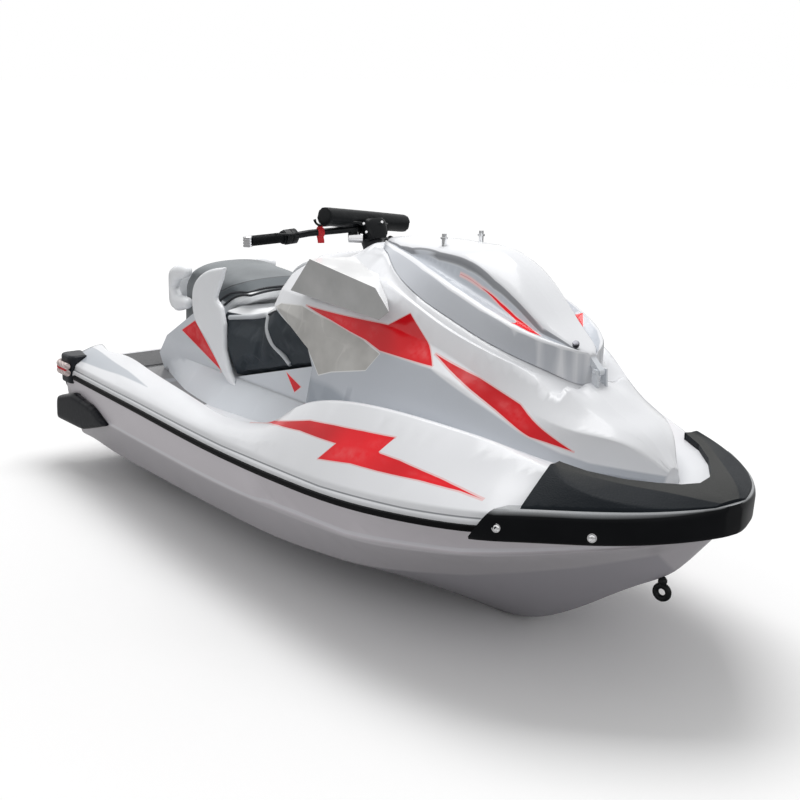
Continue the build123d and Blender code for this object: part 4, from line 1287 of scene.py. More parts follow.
@dataclass
class Cushion:
    """Padded piece swollen from its CAD solid by a cloth simulation."""

    node: str
    name: str
    finish: Any
    voxel: float = 0.008
    inset: float = 0.007
    cap: float = 0.014
    fill: float = 0.7
    smoothing: int = 14
    pressure: float = 4.0
    frames: int = 20
    crown: float = 0.0
    crown_power: float = 2.4
    stiffness: float = 12.0

    def build(self) -> bpy.types.Object:
        """Copy the solid, even out its mesh, swell it and dress it.

        Returns:
            The cushion.
        """
        piece = evened(self.name, self.node, self.voxel, self.smoothing)
        placed(piece, self.crowned(points_of(piece.data) - normals_of(piece.data) * self.inset))
        self.swell(piece)
        refined(piece)
        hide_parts(self.node)
        return dress(piece, body_of(self.node), slot_of(self.node), self.finish)

    def crowned(self, points: np.ndarray) -> np.ndarray:
        """Top lowered towards the sides: the drop goes as a power of the way from the middle.

        Args:
            points: The cushion's points.

        Returns:
            The points, lowered.
        """
        low, high = points.min(axis=0), points.max(axis=0)
        rise = (points[:, 2] - low[2]) / (high[2] - low[2])
        aside = np.abs(points[:, 1]) / high[1]
        drop = self.crown * rise * aside**self.crown_power
        return points - drop[:, None] * np.array([0.0, 0.0, 1.0])

    def swell(self, piece: bpy.types.Object) -> None:
        """Blow the piece up as cloth, no point moving further than the cap.

        Args:
            piece: The cushion before it is swollen.
        """
        rest = points_of(piece.data)
        cloth = piece.modifiers.new("cloth", "CLOTH")
        settings = cloth.settings
        settings.use_pressure = True
        settings.uniform_pressure_force = self.pressure
        settings.effector_weights.gravity = 0.0
        settings.tension_stiffness = settings.compression_stiffness = self.stiffness
        cloth.collision_settings.use_collision = False
        cloth.point_cache.frame_end = self.frames
        for step in range(1, self.frames + 1):
            bpy.context.scene.frame_set(step)
        taken(piece)
        bpy.context.scene.frame_set(1)
        move = points_of(piece.data) - rest
        length = np.maximum(np.linalg.norm(move, axis=1, keepdims=True), NO_LENGTH)
        placed(piece, rest + move * np.minimum(1.0, self.cap / length))


SEAT_TOP_LINE = (
    (-0.66, 0.730), (-0.5325, 0.730), (-0.4125, 0.747), (-0.34, 0.773), (-0.258, 0.797),
    (-0.19, 0.815))
OVER_SEAT = 0.4
PILLION_FRONT = (
    (-0.76, 0.70), (-0.721, 0.756), (-0.688, 0.752), (-0.629, 0.780), (-0.557, 0.806),
    (-0.504, 0.8165), (-0.45, 0.8165))
PILLION_DARK = ((-0.80, 0.79), (-0.715, 0.790), (-0.62, 0.83), (-0.585, 0.85), (-0.45, 0.85))
PIPING_WIDTH = 0.003
SEAT_WHITE = (0.86, 0.87, 0.88)
CHARCOAL = (0.018, 0.026, 0.034)
PIPING = Plain("piping", (0.02, 0.022, 0.026), 0.4, depth=0.0001, shine=0.25)
PALE_PIPING = Plain("pale_piping", (0.52, 0.54, 0.56), 0.35, depth=0.0001, shine=0.3)
RIDER_VINYL = Vinyl("rider_vinyl", CHARCOAL, (
    Area(Band(shifted(SEAT_TOP_LINE, OVER_SEAT), SEAT_TOP_LINE), SEAT_WHITE, soft=0.001),
))
PILLION_VINYL = Vinyl("pillion_vinyl", (0.22, 0.235, 0.245), (
    Area(Band(PILLION_FRONT, ground_of(PILLION_FRONT)), SEAT_WHITE),
    Area(Band(PILLION_DARK, shifted(PILLION_FRONT, PIPING_WIDTH)), (0.10, 0.115, 0.125), 0.9,
         0.004),
), seams=(
    Stroke(PILLION_DARK, (0.05, 0.055, 0.06), 0.006),
))


@dataclass
class Seats:
    """Two cushions with their piping and pale flank bands."""

    half: float = 0.2
    band_radius: float = 0.009
    piping_radius: float = 0.004
    pillion_piping_radius: float = 0.0045
    band: Line = ((-0.60, 0.716), (-0.566, 0.725), (-0.449, 0.751), (-0.357, 0.770),
                  (-0.344, 0.740), (-0.319, 0.699), (-0.288, 0.663), (-0.245, 0.625),
                  (-0.222, 0.606))
    pillion_rows: tuple[tuple[Place, ...], ...] = (
        ((-0.735, -0.17, 0.745), (-0.721, -0.17, 0.758), (-0.664, -0.17, 0.787),
         (-0.593, -0.17, 0.814), (-0.537, -0.16, 0.829), (-0.535, -0.082, 0.829),
         (-0.532, 0.0, 0.829)),
        ((-0.70, -0.17, 0.740), (-0.688, -0.17, 0.746), (-0.629, -0.17, 0.780),
         (-0.557, -0.17, 0.806), (-0.504, -0.16, 0.820), (-0.503, -0.083, 0.819),
         (-0.503, 0.0, 0.818)))

    def build(self) -> None:
        """Make both cushions, then what is sewn on them."""
        rider = Cushion("rider_seat", "rider_cushion", RIDER_VINYL).build()
        pillion = Cushion("passenger_seat", "pillion_cushion", PILLION_VINYL, voxel=0.009,
                          smoothing=40, crown=0.03, cap=0.009).build()
        band = Welt("flank_band", self.band_radius, PALE_PIPING, rise=0.0)
        band.build(rider, self.on_flanks(self.band, 70))
        piping = Welt("top_piping", self.piping_radius, PIPING)
        piping.build(rider, self.on_flanks(SEAT_TOP_LINE[1:], 50))
        rows = Welt("pillion_piping", self.pillion_piping_radius, PIPING)
        rows.build(pillion, [self.over_front(row, 110) for row in self.pillion_rows])

    def on_flanks(self, line: Line, count: int) -> list[np.ndarray]:
        """Smooth paths along a line on the right and the left flank.

        Args:
            line: Pairs of place along the craft and height.
            count: Points in each path.

        Returns:
            The two paths.
        """
        x, z = np.array(line).T
        flanks = [np.full(len(x), side * self.half) for side in (-1.0, 1.0)]
        return [smooth_path(np.column_stack([x, flank, z]), count) for flank in flanks]

    @staticmethod
    def over_front(row: Sequence[Place], count: int) -> np.ndarray:
        """Smooth path of a row given from one side to the middle and mirrored to the other."""
        return smooth_path([*row, *((x, -side, z) for x, side, z in reversed(row[:-1]))], count)


# Steering head and fittings

GRIP_RUBBER = Plain("grip_rubber", (0.005, 0.006, 0.007), 0.5, grain=1500.0, depth=0.0003,
                    shine=0.1, wear=0.3)
BAR_BLACK = Plain("bar_black", (0.006, 0.007, 0.008), 0.26, depth=0.0001, shine=0.14, wear=0.4)
CHROME = Plain("chrome", (0.80, 0.80, 0.81), 0.12, metallic=1.0, depth=0.00002, uneven=0.04)
RED_WEBBING = Braid("red_webbing", (0.80, 0.02, 0.03), (0.45, 0.01, 0.015), 0.006)
PAD_VINYL = Plain("bar_pad_vinyl", (0.004, 0.005, 0.006), 0.36, grain=500.0, depth=0.0002,
                  shine=0.12, wear=0.3)
DARK_CHROME = Plain("dark_chrome", (0.10, 0.10, 0.11), 0.3, metallic=1.0, depth=0.00002,
                    uneven=0.04)


@dataclass(frozen=True)
class Rod:
    """Straight run of a round CAD part on one side of the craft, found from its points."""

    inner: np.ndarray
    outer: np.ndarray

    @classmethod
    def of(cls, node: str, side: float) -> "Rod":
        """Find the axis of the node's half on one side, the way its points are spread most.

        Args:
            node: The CAD node.
            side: 1.0 for port, -1.0 for starboard.

        Returns:
            The rod, from its end near the middle to its outer end.
        """
        points = points_of(frame["nodes"][node].data)
        half = points[points[:, 1] * side > 0]
        middle = half.mean(axis=0)
        run = np.linalg.svd(half - middle, full_matrices=False)[2][0]
        run = run * np.sign(run[1] * side)
        reach = (half - middle) @ run
        centre = middle + run * (reach.min() + reach.max()) / 2
        span = (reach.max() - reach.min()) / 2
        return cls(centre - run * span, centre + run * span)

    @property
    def run(self) -> np.ndarray:
        """Direction from the inner to the outer end."""
        return unit(self.outer - self.inner)

    @property
    def length(self) -> float:
        """Distance between the ends."""
        return float(np.linalg.norm(self.outer - self.inner))


@dataclass
class Steering:
    """Padded roll, ribbed grips, grooved bar ends, controls, clamp, key switch and strap."""

    # Grips and bar ends
    grip_radius: float = 0.0165
    rib_depth: float = 0.0011
    ribs: int = 22
    flange: Line = (
        (0.0, 0.012), (0.0, 0.0205), (0.002, 0.0215), (0.005, 0.0205), (0.006, 0.016))
    end_radius: float = 0.0145
    end_back: Line = ((0.0, -0.004), (0.0, -0.001), (0.001, 0.0))
    end_face: Line = ((-0.003, 0.0), (-0.0008, -0.002), (0.0, -0.004))
    end_dish: Line = ((0.0, 0.006), (-0.003, 0.005))
    end_grooves: tuple[float, ...] = (0.25, 0.5, 0.75)
    groove_depth: float = 0.0022
    groove_top: float = 0.0014
    groove_foot: float = 0.0008

    # Switch housings and their buttons
    housing_radius: float = 0.0215
    housing_slack: float = 0.98
    housing_squareness: float = 0.6
    housing_scale: Line = (
        (0.0, 0.72), (0.03, 0.95), (0.07, 1.0), (0.45, 1.0), (0.47, 0.93), (0.51, 0.93),
        (0.53, 1.0), (0.92, 1.0), (0.97, 0.96), (1.0, 0.72))
    housing_up: Place = (0.55, 0.0, 0.84)
    buttons: Line = ((0.28, 0.006), (0.72, 0.0045))
    button_height: float = 0.005
    button_chamfer: float = 0.001
    button_face: float = 0.7
    button_sunk: float = 0.002
    button_run: Place = (-1.0, 0.0, 0.1)

    # Lever over the starboard grip
    lever_radius: float = 0.004
    lever_flat: tuple[float, float] = (1.3, 0.85)
    lever_bow: float = 0.006
    lever_scale: Line = ((0.0, 1.25), (0.2, 1.0), (0.85, 0.85), (0.93, 1.3), (1.0, 1.0))

    # Clamp under the roll
    clamp_path: tuple[Place, ...] = (
        (0.020, 0.0, 1.052), (0.012, 0.0, 1.066), (0.006, 0.0, 1.080), (0.000, 0.0, 1.094),
        (-0.006, 0.0, 1.106), (-0.010, 0.0, 1.114))
    clamp_scale: tuple[float, ...] = (0.7, 0.95, 1.0, 1.0, 0.96, 0.8)
    clamp_half: tuple[float, float] = (0.043, 0.024)
    clamp_squareness: float = 0.5
    clamp_up: Place = (1.0, 0.0, 0.4)
    ear: Line = ((-0.012, 0.010), (-0.012, 0.016), (0.012, 0.016), (0.012, 0.010))
    ear_places: tuple[Place, ...] = ((-0.030, -0.062, 1.084), (-0.030, 0.062, 1.084))
    ear_run: Place = (0.25, 1.0, 0.0)
    key: Line = (
        (-0.020, 0.012), (-0.020, 0.0165), (0.026, 0.0165), (0.028, 0.015), (0.028, 0.011),
        (0.024, 0.011), (0.024, 0.001))
    key_place: Place = (-0.010, -0.060, 1.060)
    key_run: Place = (-0.62, -0.78, 0.0)
    bolt: Line = ((-0.006, 0.005), (0.006, 0.005), (0.008, 0.004), (0.008, 0.0022), (0.005, 0.0022))
    bolt_places: tuple[Place, ...] = (
        (0.008, -0.046, 1.106), (0.023, 0.016, 1.109), (0.020, -0.044, 1.080))
    bolt_run: Place = (0.79, -0.5, 0.33)

    # Bent lever on the clamp
    head_lever_radius: float = 0.0042
    head_lever_knots: tuple[Place, ...] = (
        (0.004, -0.040, 1.104), (0.002, -0.075, 1.112), (-0.016, -0.115, 1.110),
        (-0.036, -0.150, 1.104), (-0.050, -0.176, 1.103), (-0.056, -0.188, 1.110),
        (-0.058, -0.193, 1.122))
    head_lever_scale: Line = ((0.0, 1.5), (0.15, 1.0), (0.9, 0.9), (1.0, 1.3))

    # Strap
    strap_knots: tuple[Place, ...] = (
        (-0.043, -0.171, 1.094), (-0.052, -0.176, 1.091), (-0.057, -0.174, 1.078),
        (-0.058, -0.170, 1.062), (-0.061, -0.166, 1.053), (-0.063, -0.164, 1.044))
    strap_half: tuple[float, float] = (0.011, 0.0016)
    strap_up: Place = (0.79, -0.61, 0.0)
    loop: Line = ((-0.010, 0.0125), (-0.010, 0.0145), (0.010, 0.0145), (0.010, 0.0125))
    loop_place: Place = (-0.0567, -0.171, 1.080)
    loop_run: Place = (0.041, 0.150, 0.008)

    def build(self) -> None:
        """Make each part of the steering head."""
        Cushion("handlebar_pad", "bar_pad", PAD_VINYL, voxel=0.005, inset=0.006, cap=0.005,
                smoothing=8, fill=0.9).build()
        self.grips()
        self.bar_ends()
        self.housings()
        self.lever()
        self.clamp()
        self.head_lever()
        self.lanyard()

    @staticmethod
    def placed_on_bars(name: str, grids: list[np.ndarray], slot: str, finish: Any,
                       node: str = "", sharp: float = SOFT_EDGE) -> None:
        """Make one piece of the steering head.

        Args:
            name: The piece's name.
            grids: Its closed grids.
            slot: The record's material slot.
            finish: Its finish.
            node: The CAD node that it stands for, if any.
            sharp: Angle in degrees above which an edge stays sharp.
        """
        piece = solid(name, grids, sharp)
        if node:
            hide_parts(node)
        dress(piece, "steering", slot, finish)

    @staticmethod
    def on_both(node: str, make: Callable[[Rod], np.ndarray]) -> list[np.ndarray]:
        """Grids that a maker gives for the node's port and starboard rods."""
        return [make(Rod.of(node, side)) for side in (1.0, -1.0)]

    def grips(self) -> None:
        """Rubber grips, flanged at the inner end, whose radius rises and falls in small ribs."""
        share = np.linspace(0.0, 1.0, self.ribs * 4 + 1)
        low = np.cos(share * self.ribs * 2 * np.pi) > 0.2
        radius = self.grip_radius - self.rib_depth * low
        start = self.flange[-1][0]

        def make(rod: Rod) -> np.ndarray:
            """One grip with its flange."""
            ribbed = np.column_stack([start + share * (rod.length - start), radius])
            return turned([*self.flange, *ribbed.tolist()], rod.inner, rod.run)

        self.placed_on_bars("grip_sleeves", self.on_both("grips", make), "black_rubber",
                            GRIP_RUBBER, "grips")

    def bar_ends(self) -> None:
        """Bright end weights with three turned grooves."""
        self.placed_on_bars("end_weights", self.on_both("bar_ends", self.end_weight), "stainless",
                            CHROME, "bar_ends", TURNED_EDGE)

    def end_weight(self, rod: Rod) -> np.ndarray:
        """Turned weight with chamfered ends and a dished face.

        The back and the face are given from the weight's radius, and the dish from its axis.

        Args:
            rod: The bar end's rod.

        Returns:
            Its grid.
        """
        r, end = self.end_radius, rod.length
        low, top, foot = r - self.groove_depth, self.groove_top, self.groove_foot
        profile = [(at, r + more) for at, more in self.end_back]
        for groove in self.end_grooves:
            at = groove * end
            profile += [(at - top, r), (at - foot, low), (at + foot, low), (at + top, r)]
        profile += [(end + at, r + more) for at, more in self.end_face]
        profile += [(end + at, radius) for at, radius in self.end_dish]
        return turned(profile, rod.inner, rod.run)

    def housings(self) -> None:
        """Switch housings, boxy sleeves with a clamp groove round them, and their buttons."""
        radius = self.housing_radius
        section = rounded_box(self.housing_squareness, 28) * radius * self.housing_slack
        share, factor = np.array(self.housing_scale).T

        def make(rod: Rod) -> np.ndarray:
            """One housing."""
            path = rod.inner + share[:, None] * (rod.outer - rod.inner)
            return swept(path, section, factor, unit(np.array(self.housing_up)))

        self.placed_on_bars("control_housings", self.on_both("switch_housings", make),
                            "black_plastic", BAR_BLACK, "switch_housings")
        rods = [Rod.of("switch_housings", side) for side in (1.0, -1.0)]
        buttons = [self.button(rod, *at) for rod in rods for at in self.buttons]
        self.placed_on_bars("control_buttons", buttons, "stainless", CHROME)

    def button(self, rod: Rod, share: float, radius: float) -> np.ndarray:
        """Button on the rider's side of a housing.

        Args:
            rod: The housing's rod.
            share: Place along it, from 0 to 1.
            radius: The button's radius.

        Returns:
            Its grid.
        """
        out = np.array([1.0, 0.0, 0.0]) * (self.housing_radius - self.button_sunk)
        foot = rod.inner + rod.run * rod.length * share - out
        top = self.button_height
        shoulder = top - self.button_chamfer
        profile = [(0.0, radius), (shoulder, radius), (top, radius * self.button_face)]
        return turned(profile, foot, self.button_run)

    def lever(self) -> None:
        """Flattened lever over the starboard grip, bowed forward, with a ball at its tip."""
        rod = Rod.of("throttle_lever", -1.0)
        share = np.linspace(0.0, 1.0, 24)[:, None]
        bow = np.array([1.0, 0.0, 0.0]) * self.lever_bow * np.sin(share * np.pi)
        path = rod.inner + share * (rod.outer - rod.inner) + bow
        flat = circle(self.lever_radius, 12) * np.array(self.lever_flat)
        size = np.interp(share[:, 0], *np.array(self.lever_scale).T)
        self.placed_on_bars("lever", [swept(path, flat, size)], "black_plastic", BAR_BLACK,
                            "throttle_lever")

    def clamp(self) -> None:
        """Clamp block with its two ears, the key switch and three bolts."""
        section = rounded_box(self.clamp_squareness, 32) * np.array(self.clamp_half)
        block = swept(np.array(self.clamp_path), section, np.array(self.clamp_scale), self.clamp_up)
        ears = [turned(self.ear, place, self.ear_run) for place in self.ear_places]
        self.placed_on_bars("clamp_block", [block, *ears], "black_metal", BAR_BLACK)
        key = turned(self.key, self.key_place, self.key_run)
        self.placed_on_bars("key_switch", [key], "stainless", CHROME, sharp=TURNED_EDGE)
        bolts = [turned(self.bolt, place, self.bolt_run, 12) for place in self.bolt_places]
        self.placed_on_bars("clamp_bolts", bolts, "stainless", CHROME, sharp=TURNED_EDGE)

    def head_lever(self) -> None:
        """Bent lever that reaches from the clamp over the starboard bar and turns up at its tip."""
        path = smooth_path(self.head_lever_knots, 50)
        size = np.interp(np.linspace(0.0, 1.0, len(path)), *np.array(self.head_lever_scale).T)
        lever = swept(path, circle(self.head_lever_radius, 12), size)
        self.placed_on_bars("head_lever", [lever], "black_metal", BAR_BLACK)

    def lanyard(self) -> None:
        """Short red safety strap that hangs from a loop round the starboard bar."""
        flat = circle(1.0, 12) * np.array(self.strap_half)
        strap = swept(smooth_path(self.strap_knots, 40), flat, up=self.strap_up)
        loop = turned(self.loop, self.loop_place, self.loop_run)
        self.placed_on_bars("lanyard", [strap, loop], "seat_vinyl", RED_WEBBING)


@dataclass
class Bow:
    """Bumper screws, towing ring and the knob of the lid's latch."""

    screw: Line = (
        (-0.004, 0.010), (0.0015, 0.0125), (0.003, 0.012), (0.003, 0.0095), (0.0018, 0.009),
        (0.0035, 0.0075), (0.004, 0.0045), (0.0015, 0.004), (0.0015, 0.0005))
    screws: tuple[tuple[Place, Place], ...] = (
        ((1.155, -0.457, 0.489), (0.45, -0.87, 0.10)),
        ((1.341, -0.304, 0.486), (0.68, -0.72, 0.10)))
    ring_ahead: float = 0.001
    ring_rise: float = 0.027
    ring_radius: float = 0.018
    ring_twist: float = 0.005
    bar_radius: float = 0.0088
    shank_radius: float = 0.008
    shank_rise: float = 0.016
    shank_gap: float = 0.004
    collar: Line = ((0.0, 0.010), (0.006, 0.0125), (0.012, 0.0125), (0.016, 0.010))
    collar_rise: float = 0.022
    knob: Line = (
        (-0.004, 0.004), (0.004, 0.0045), (0.005, 0.009), (0.009, 0.010), (0.010, 0.0075),
        (0.012, 0.0075), (0.013, 0.010), (0.017, 0.009), (0.018, 0.004))
    knob_place: Place = (0.984, -0.035, 0.874)
    knob_run: Place = (0.35, -0.35, 0.85)

    def build(self) -> None:
        """Make the fittings."""
        self.bumper_screws()
        self.towing_ring()
        self.latch()

    def bumper_screws(self) -> None:
        """Dished screws with a socket in the head, on both sides."""
        grids = [turned(self.screw, (x, side * y, z), (u, side * v, w), 24)
                 for (x, y, z), (u, v, w) in self.screws for side in (1.0, -1.0)]
        dress(solid("bumper_screws", grids, SCREW_EDGE), "craft", "stainless", CHROME)

    def towing_ring(self) -> None:
        """Thick ring on a collar under the stem, in the place of its plain node.

        ring(t) = centre + (radius * cos t, twist * cos t, radius * sin t)
        """
        up = (0.0, 0.0, 1.0)
        low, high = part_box("bow_eye")
        middle = (low.x + high.x) / 2 + self.ring_ahead
        centre = np.array([middle, 0.0, low.z + self.ring_rise])
        turn = np.linspace(0.5 * np.pi, 2.5 * np.pi, 41)[:-1]
        wide, tall = np.cos(turn), np.sin(turn)
        reach = (self.ring_radius, self.ring_twist, self.ring_radius)
        ring = centre + np.column_stack([wide, wide, tall]) * np.array(reach)
        ring = np.vstack([ring, ring[:1]])
        foot = centre + np.array([0.0, 0.0, self.shank_rise])
        length = high.z - self.shank_gap - foot[2]
        shank = turned([(0.0, self.shank_radius), (length, self.shank_radius)], foot, up)
        collar = turned(self.collar, centre + np.array([0.0, 0.0, self.collar_rise]), up)
        loop = swept(ring, circle(self.bar_radius, 14), up=(0.0, 1.0, 0.0))
        piece = solid("towing_ring", [loop, shank, collar])
        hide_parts("bow_eye")
        dress(piece, "craft", "black_plastic", BAR_BLACK)

    def latch(self) -> None:
        """Knob of the lid's latch at its nose."""
        grids = [turned(self.knob, self.knob_place, self.knob_run, 24)]
        dress(solid("latch_knob", grids, SCREW_EDGE), "lid", "stainless", DARK_CHROME)


@dataclass
class Stern:
    """Rope fender of two round strands with a red cord between them."""

    strand: float = 0.0125
    cord: float = 0.0065
    inset: float = 0.0135
    rise: float = 0.0145
    corner: float = 0.052
    sag: float = 0.014
    cord_out: float = 0.004
    end_gap: float = 0.004
    cord_end_gap: float = 0.006

    def build(self) -> None:
        """Make the fender."""
        low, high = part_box("stern_fender")
        back, out = low.x + self.inset, high.y - self.inset
        heights = (low.z + self.rise, high.z - self.rise)
        strands = [self.route(back, high.x - self.end_gap, out, z) for z in heights]
        piece = solid("rope_fender", [swept(path, circle(self.strand, 16)) for path in strands])
        middle, front = sum(heights) / 2, high.x - self.cord_end_gap
        path = self.route(back - self.cord_out, front, out + self.cord_out, middle)
        cord = solid("fender_cord", [swept(path, circle(self.cord, 10))])
        dress(cord, "craft", "fender_rope", RED_WEBBING)
        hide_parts("stern_fender")
        dress(piece, "craft", "fender_rope", ROPE)

    def route(self, back: float, front: float, side: float, height: float) -> np.ndarray:
        """Path of one strand: forward run, rounded corner, run across, and the same again.

        The corner's points are back + corner * (1 - sin t), side - corner * (1 - cos t), and the
        height falls by the sag on the way round it.

        Args:
            back: Place of the run behind the transom.
            front: Place of the ends.
            side: Half breadth of the side runs.
            height: Height of the strand at the sides.

        Returns:
            The points.
        """
        corner = self.corner
        turn = np.linspace(0.0, np.pi / 2, 12)
        arc_x = back + corner - corner * np.sin(turn)
        arc_y = side - corner + corner * np.cos(turn)
        ahead = np.linspace(front, back + corner, 12)[:-1]
        half = np.column_stack([np.concatenate([ahead, arc_x]),
                                np.concatenate([np.full(len(ahead), side), arc_y])])
        across = np.linspace(half[-1, 1], -half[-1, 1], 30)[1:-1]
        middle = np.column_stack([np.full(len(across), back), across])
        plan = np.vstack([half, middle, half[::-1] * np.array([1.0, -1.0])])
        inner = np.clip((side - np.abs(plan[:, 1])) / corner - 0.4, 0.0, 1.0)
        return np.column_stack([plan, height - self.sag * inner])


# Finishes of the other nodes

BLACK_RUBBER = Plain("black_rubber", (0.006, 0.007, 0.009), 0.3, depth=0.0001, wear=0.2,
                     shine=0.18)
BLACK_PLASTIC = Plain("black_plastic", (0.018, 0.019, 0.022), 0.38, depth=0.0001, wear=0.4,
                      shine=0.25)
CAST_ALLOY = Plain("cast_alloy", (0.5, 0.51, 0.53), 0.42, metallic=0.9, grain=300.0)
STAINLESS = Plain("stainless", (0.72, 0.73, 0.74), 0.18, metallic=1.0, depth=0.00002)
BLACK_METAL = Plain("black_metal", (0.007, 0.008, 0.009), 0.28, depth=0.0001, wear=0.3,
                    shine=0.14)
ENGINE = Plain("engine_metal", (0.1, 0.1, 0.1), 0.6)
DECK_MAT = Mat("deck_mat", MAT_GREY)
# Nose pad painted lighter on its top and darker on its sides: painted light and shade.
PAD_FOIL = Faced("pad_foil", (0.034, 0.035, 0.034), (0.005, 0.0075, 0.0105), shine=0.1,
                 turn=(0.93, 0.975))
# The bumper's pale top is partly wear and partly a painted reflection of the sky; its sides stay
# black.
BUMPER = Faced("bumper_rubber", (0.34, 0.35, 0.36), (0.003, 0.0035, 0.0045), grain=600.0,
               depth=0.0001, roughness=0.3, shine=0.08, turn=(0.3, 0.6))
ROPE = Braid("fender_rope", (0.80, 0.68, 0.66), (0.30, 0.24, 0.22), 0.028)
SPONSON = Plain("sponson_plastic", (0.004, 0.005, 0.008), 0.3, depth=0.0004, grain=60.0,
                wear=0.8, shine=0.12)
RAIL = Plain("rail_rubber", (0.002, 0.002, 0.0025), 0.5, depth=0.0001, shine=0.06)
GUARD = Plain("guard_rubber", (0.007, 0.009, 0.013), 0.4, wear=0.5, shine=0.25)
PLAIN_VINYL = Vinyl("seat_vinyl", (0.03, 0.035, 0.04))

SLOT_FINISH = {
    "deck_gelcoat": DECK, "hull_gelcoat": HULL, "black_rubber": BLACK_RUBBER,
    "black_plastic": BLACK_PLASTIC, "cast_alloy": CAST_ALLOY, "stainless": STAINLESS,
    "black_metal": BLACK_METAL, "pod_gloss": POD, "seat_vinyl": PLAIN_VINYL,
    "deck_mat": DECK_MAT, "fender_rope": ROPE, "engine_metal": ENGINE,
}


# The craft


@dataclass
class Mouldings:
    """Hull, deck, hood and the other rigid gelcoat and rubber mouldings.

    rounded gives the width of the rounding; eased gives the size of the faces, the rounds of
    smoothing and how far the skin is moved out again.
    """

    finishes: tuple[tuple[str, Any], ...] = (
        ("hull", HULL), ("deck", DECK), ("hood", HOOD), ("seat_pedestal", BASE),
        ("front_lid", LID), ("nose_pad", PAD_FOIL), ("bow_bumper", BUMPER), ("rub_rails", RAIL))
    painted_parts: tuple[str, ...] = ("lid_hinge", "lid_hinge_arm")
    rounded: tuple[tuple[str, Any, float], ...] = (("console_pods", POD, 0.006),)
    eased: tuple[tuple[str, Any, float, int, float], ...] = (
        ("side_fairings", HORN, 0.005, 6, 0.0), ("grab_handle", HORN, 0.006, 26, 0.010),
        ("sponsons", SPONSON, 0.007, 12, 0.004), ("stern_guards", GUARD, 0.005, 6, 0.001))

    def build(self) -> None:
        """Dress each moulding."""
        for node, finish in self.finishes:
            Moulding(node, finish).build()
        for node, finish, bevel in self.rounded:
            Moulding(node, finish, bevel=bevel).build()
        for node, finish, voxel, rounds, out in self.eased:
            Eased(node, finish, voxel, rounds, out).build()
        for node in self.painted_parts:
            Moulding(node, BASE, slot="deck_gelcoat").build()


@dataclass
class Craft:
    """The whole craft."""

    def build(self) -> None:
        """Dress the nodes, then build each sub-assembly."""
        self.dress_nodes()
        Mouldings().build()
        Seats().build()
        Steering().build()
        Bow().build()
        Stern().build()

    def dress_nodes(self) -> None:
        """Give every CAD node the finish of its slot."""
        for part in frame["record"]["subparts"]:
            node = frame["nodes"][part["node"]]
            node.data.materials.clear()
            node.data.materials.append(painted(SLOT_FINISH[part["material_slot"]]))


# Studio


@dataclass(frozen=True)
class Lamp:
    """Square soft lamp that faces the middle of the craft."""

    name: str
    place: Place
    size: float
    watts: float
    aim: Place = (0.2, 0.0, 0.5)

    def build(self) -> None:
        """Make the lamp and turn it to its aim."""
        data = bpy.data.lights.new(self.name, "AREA")
        data.shape = "SQUARE"
        data.size = self.size
        data.energy = self.watts
        lamp = shown(self.name, data)
        lamp.location = self.place
        towards = Vector(self.aim) - Vector(self.place)
        lamp.rotation_euler = towards.to_track_quat("-Z", "Y").to_euler()


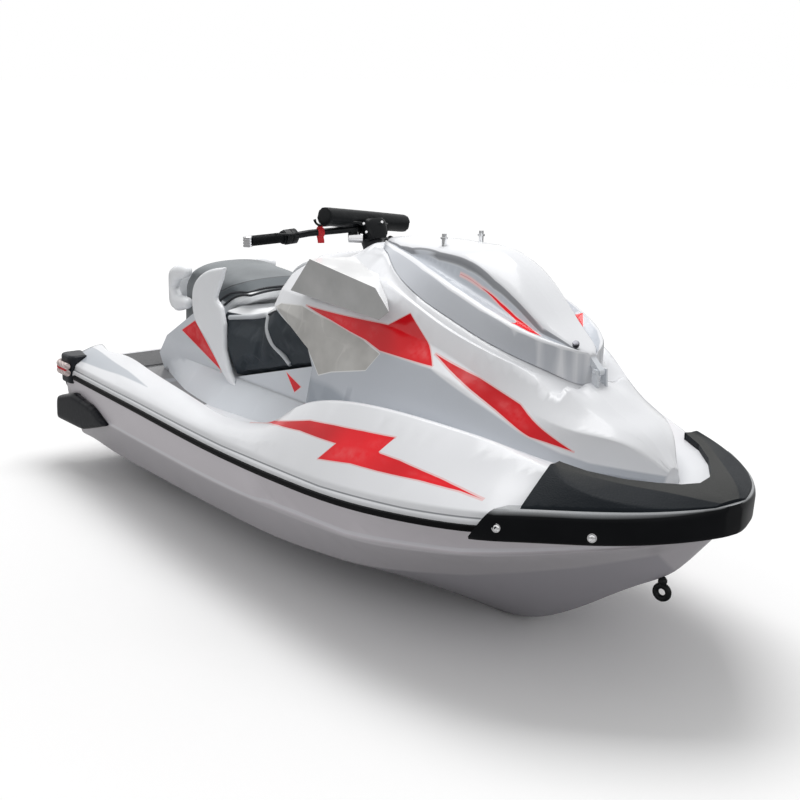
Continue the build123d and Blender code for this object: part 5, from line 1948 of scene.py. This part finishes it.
@dataclass
class Studio:
    """Floor, soft lamps, world and camera.

    Angles are in radians, and focal is the focal length where the frame is frame_width wide.
    key_light is the light that the key lamp brings to the floor under it, and sky the world's.
    """

    eye: Place = (3.5609, -2.6308, 1.6482)
    azimuth: float = 0.91273
    elevation: float = 0.25152
    roll: float = 0.017975
    focal: float = 1355.518
    frame_width: float = 800.0
    sensor: float = 36.0
    sky: float = 0.46
    key_height: float = 4.6
    key_light: float = 0.66
    floor_reach: float = 60.0
    floor_white: float = 1.06
    floor_grey: Colour = (0.6, 0.6, 0.6)

    def build(self) -> None:
        """Make the camera, the world, the lamps and the floor."""
        self.camera()
        self.world()
        power = self.key_light * (math.pi * self.key_height) ** 2
        Lamp("key", (-0.5, 0.6, self.key_height), 2.8, power).build()
        Lamp("front", (4.4, -0.6, 2.2), 2.6, 14.0).build()
        Lamp("side", (-1.5, -4.4, 2.2), 2.8, 12.0).build()
        self.floor()

    def camera(self) -> None:
        """Place the camera on its line of sight, with its small roll."""
        a, e, r = self.azimuth, self.elevation, self.roll
        back = np.array([math.sin(a) * math.cos(e), -math.cos(a) * math.cos(e), math.sin(e)])
        right = np.array([math.cos(a), math.sin(a), 0.0])
        up = np.cross(back, right)
        rolled_right = math.cos(r) * right + math.sin(r) * up
        rolled_up = -math.sin(r) * right + math.cos(r) * up
        data = bpy.data.cameras.new("camera")
        data.sensor_width = self.sensor
        data.lens = self.sensor * self.focal / self.frame_width
        camera = shown("camera", data)
        rows = np.column_stack([rolled_right, rolled_up, back, self.eye]).tolist()
        camera.matrix_world = Matrix((*rows, (0.0, 0.0, 0.0, 1.0)))
        bpy.context.scene.camera = camera

    def world(self) -> None:
        """White to the camera and to reflections, and a plain sky of less strength as light."""
        world = bpy.data.worlds.new("studio")
        bpy.context.scene.world = world
        world.use_nodes = True
        tree = world.node_tree
        background = tree.nodes["Background"]
        background.inputs["Color"].default_value = (1.0, 1.0, 1.0, 1.0)
        made = Shader.on(tree)
        path = made.node("ShaderNodeLightPath", {}, {}, "Is Camera Ray").link.node.outputs
        kinds = ("Camera", "Glossy", "Transmission")
        camera, glossy, through = (Socket(made, path[f"Is {kind} Ray"]) for kind in kinds)
        strength = camera.most(glossy).most(through) * (1.0 - self.sky) + self.sky
        tree.links.new(strength.link, background.inputs["Strength"])

    def floor(self) -> None:
        """Wide pale floor that keeps the craft's shadow and meets the white world without a line.

        To the camera its colour is one over the light that the sky and the key lamp bring there.
        """
        reach = self.floor_reach
        mesh = bpy.data.meshes.new("floor")
        corners = [(-reach, -reach), (reach, -reach), (reach, reach), (-reach, reach)]
        mesh.from_pydata([(x, y, 0.0) for x, y in corners], [], [(0, 1, 2, 3)])
        floor = shown("floor", mesh)
        shader = Shader("floor")
        x, y, _ = shader.axes()
        spread = 1.0 + (x * x + y * y) / self.key_height**2
        light = self.key_light / (spread * spread) + self.sky
        shades = {name: self.floor_white / light for name in ("Red", "Green", "Blue")}
        white = shader.node("ShaderNodeCombineColor", {}, shades)
        camera = shader.node("ShaderNodeLightPath", {}, {}, "Is Camera Ray")
        pale = shader.node("ShaderNodeBsdfDiffuse", {}, {"Color": white})
        plain = shader.node("ShaderNodeBsdfDiffuse", {}, {"Color": (*self.floor_grey, 1.0)})
        mixed = shader.node("ShaderNodeMixShader", {}, {"0": camera, "1": plain, "2": pale})
        output = shader.tree.nodes["Material Output"]
        shader.tree.links.new(mixed.link, output.inputs["Surface"])
        mesh.materials.append(shader.material)


def main() -> None:
    """Build the studio and the craft in order."""
    logging.basicConfig(level=logging.INFO)
    bpy.context.scene.view_settings.view_transform = "Standard"
    Studio().build()
    Craft().build()


if __name__ == "__main__":
    main()
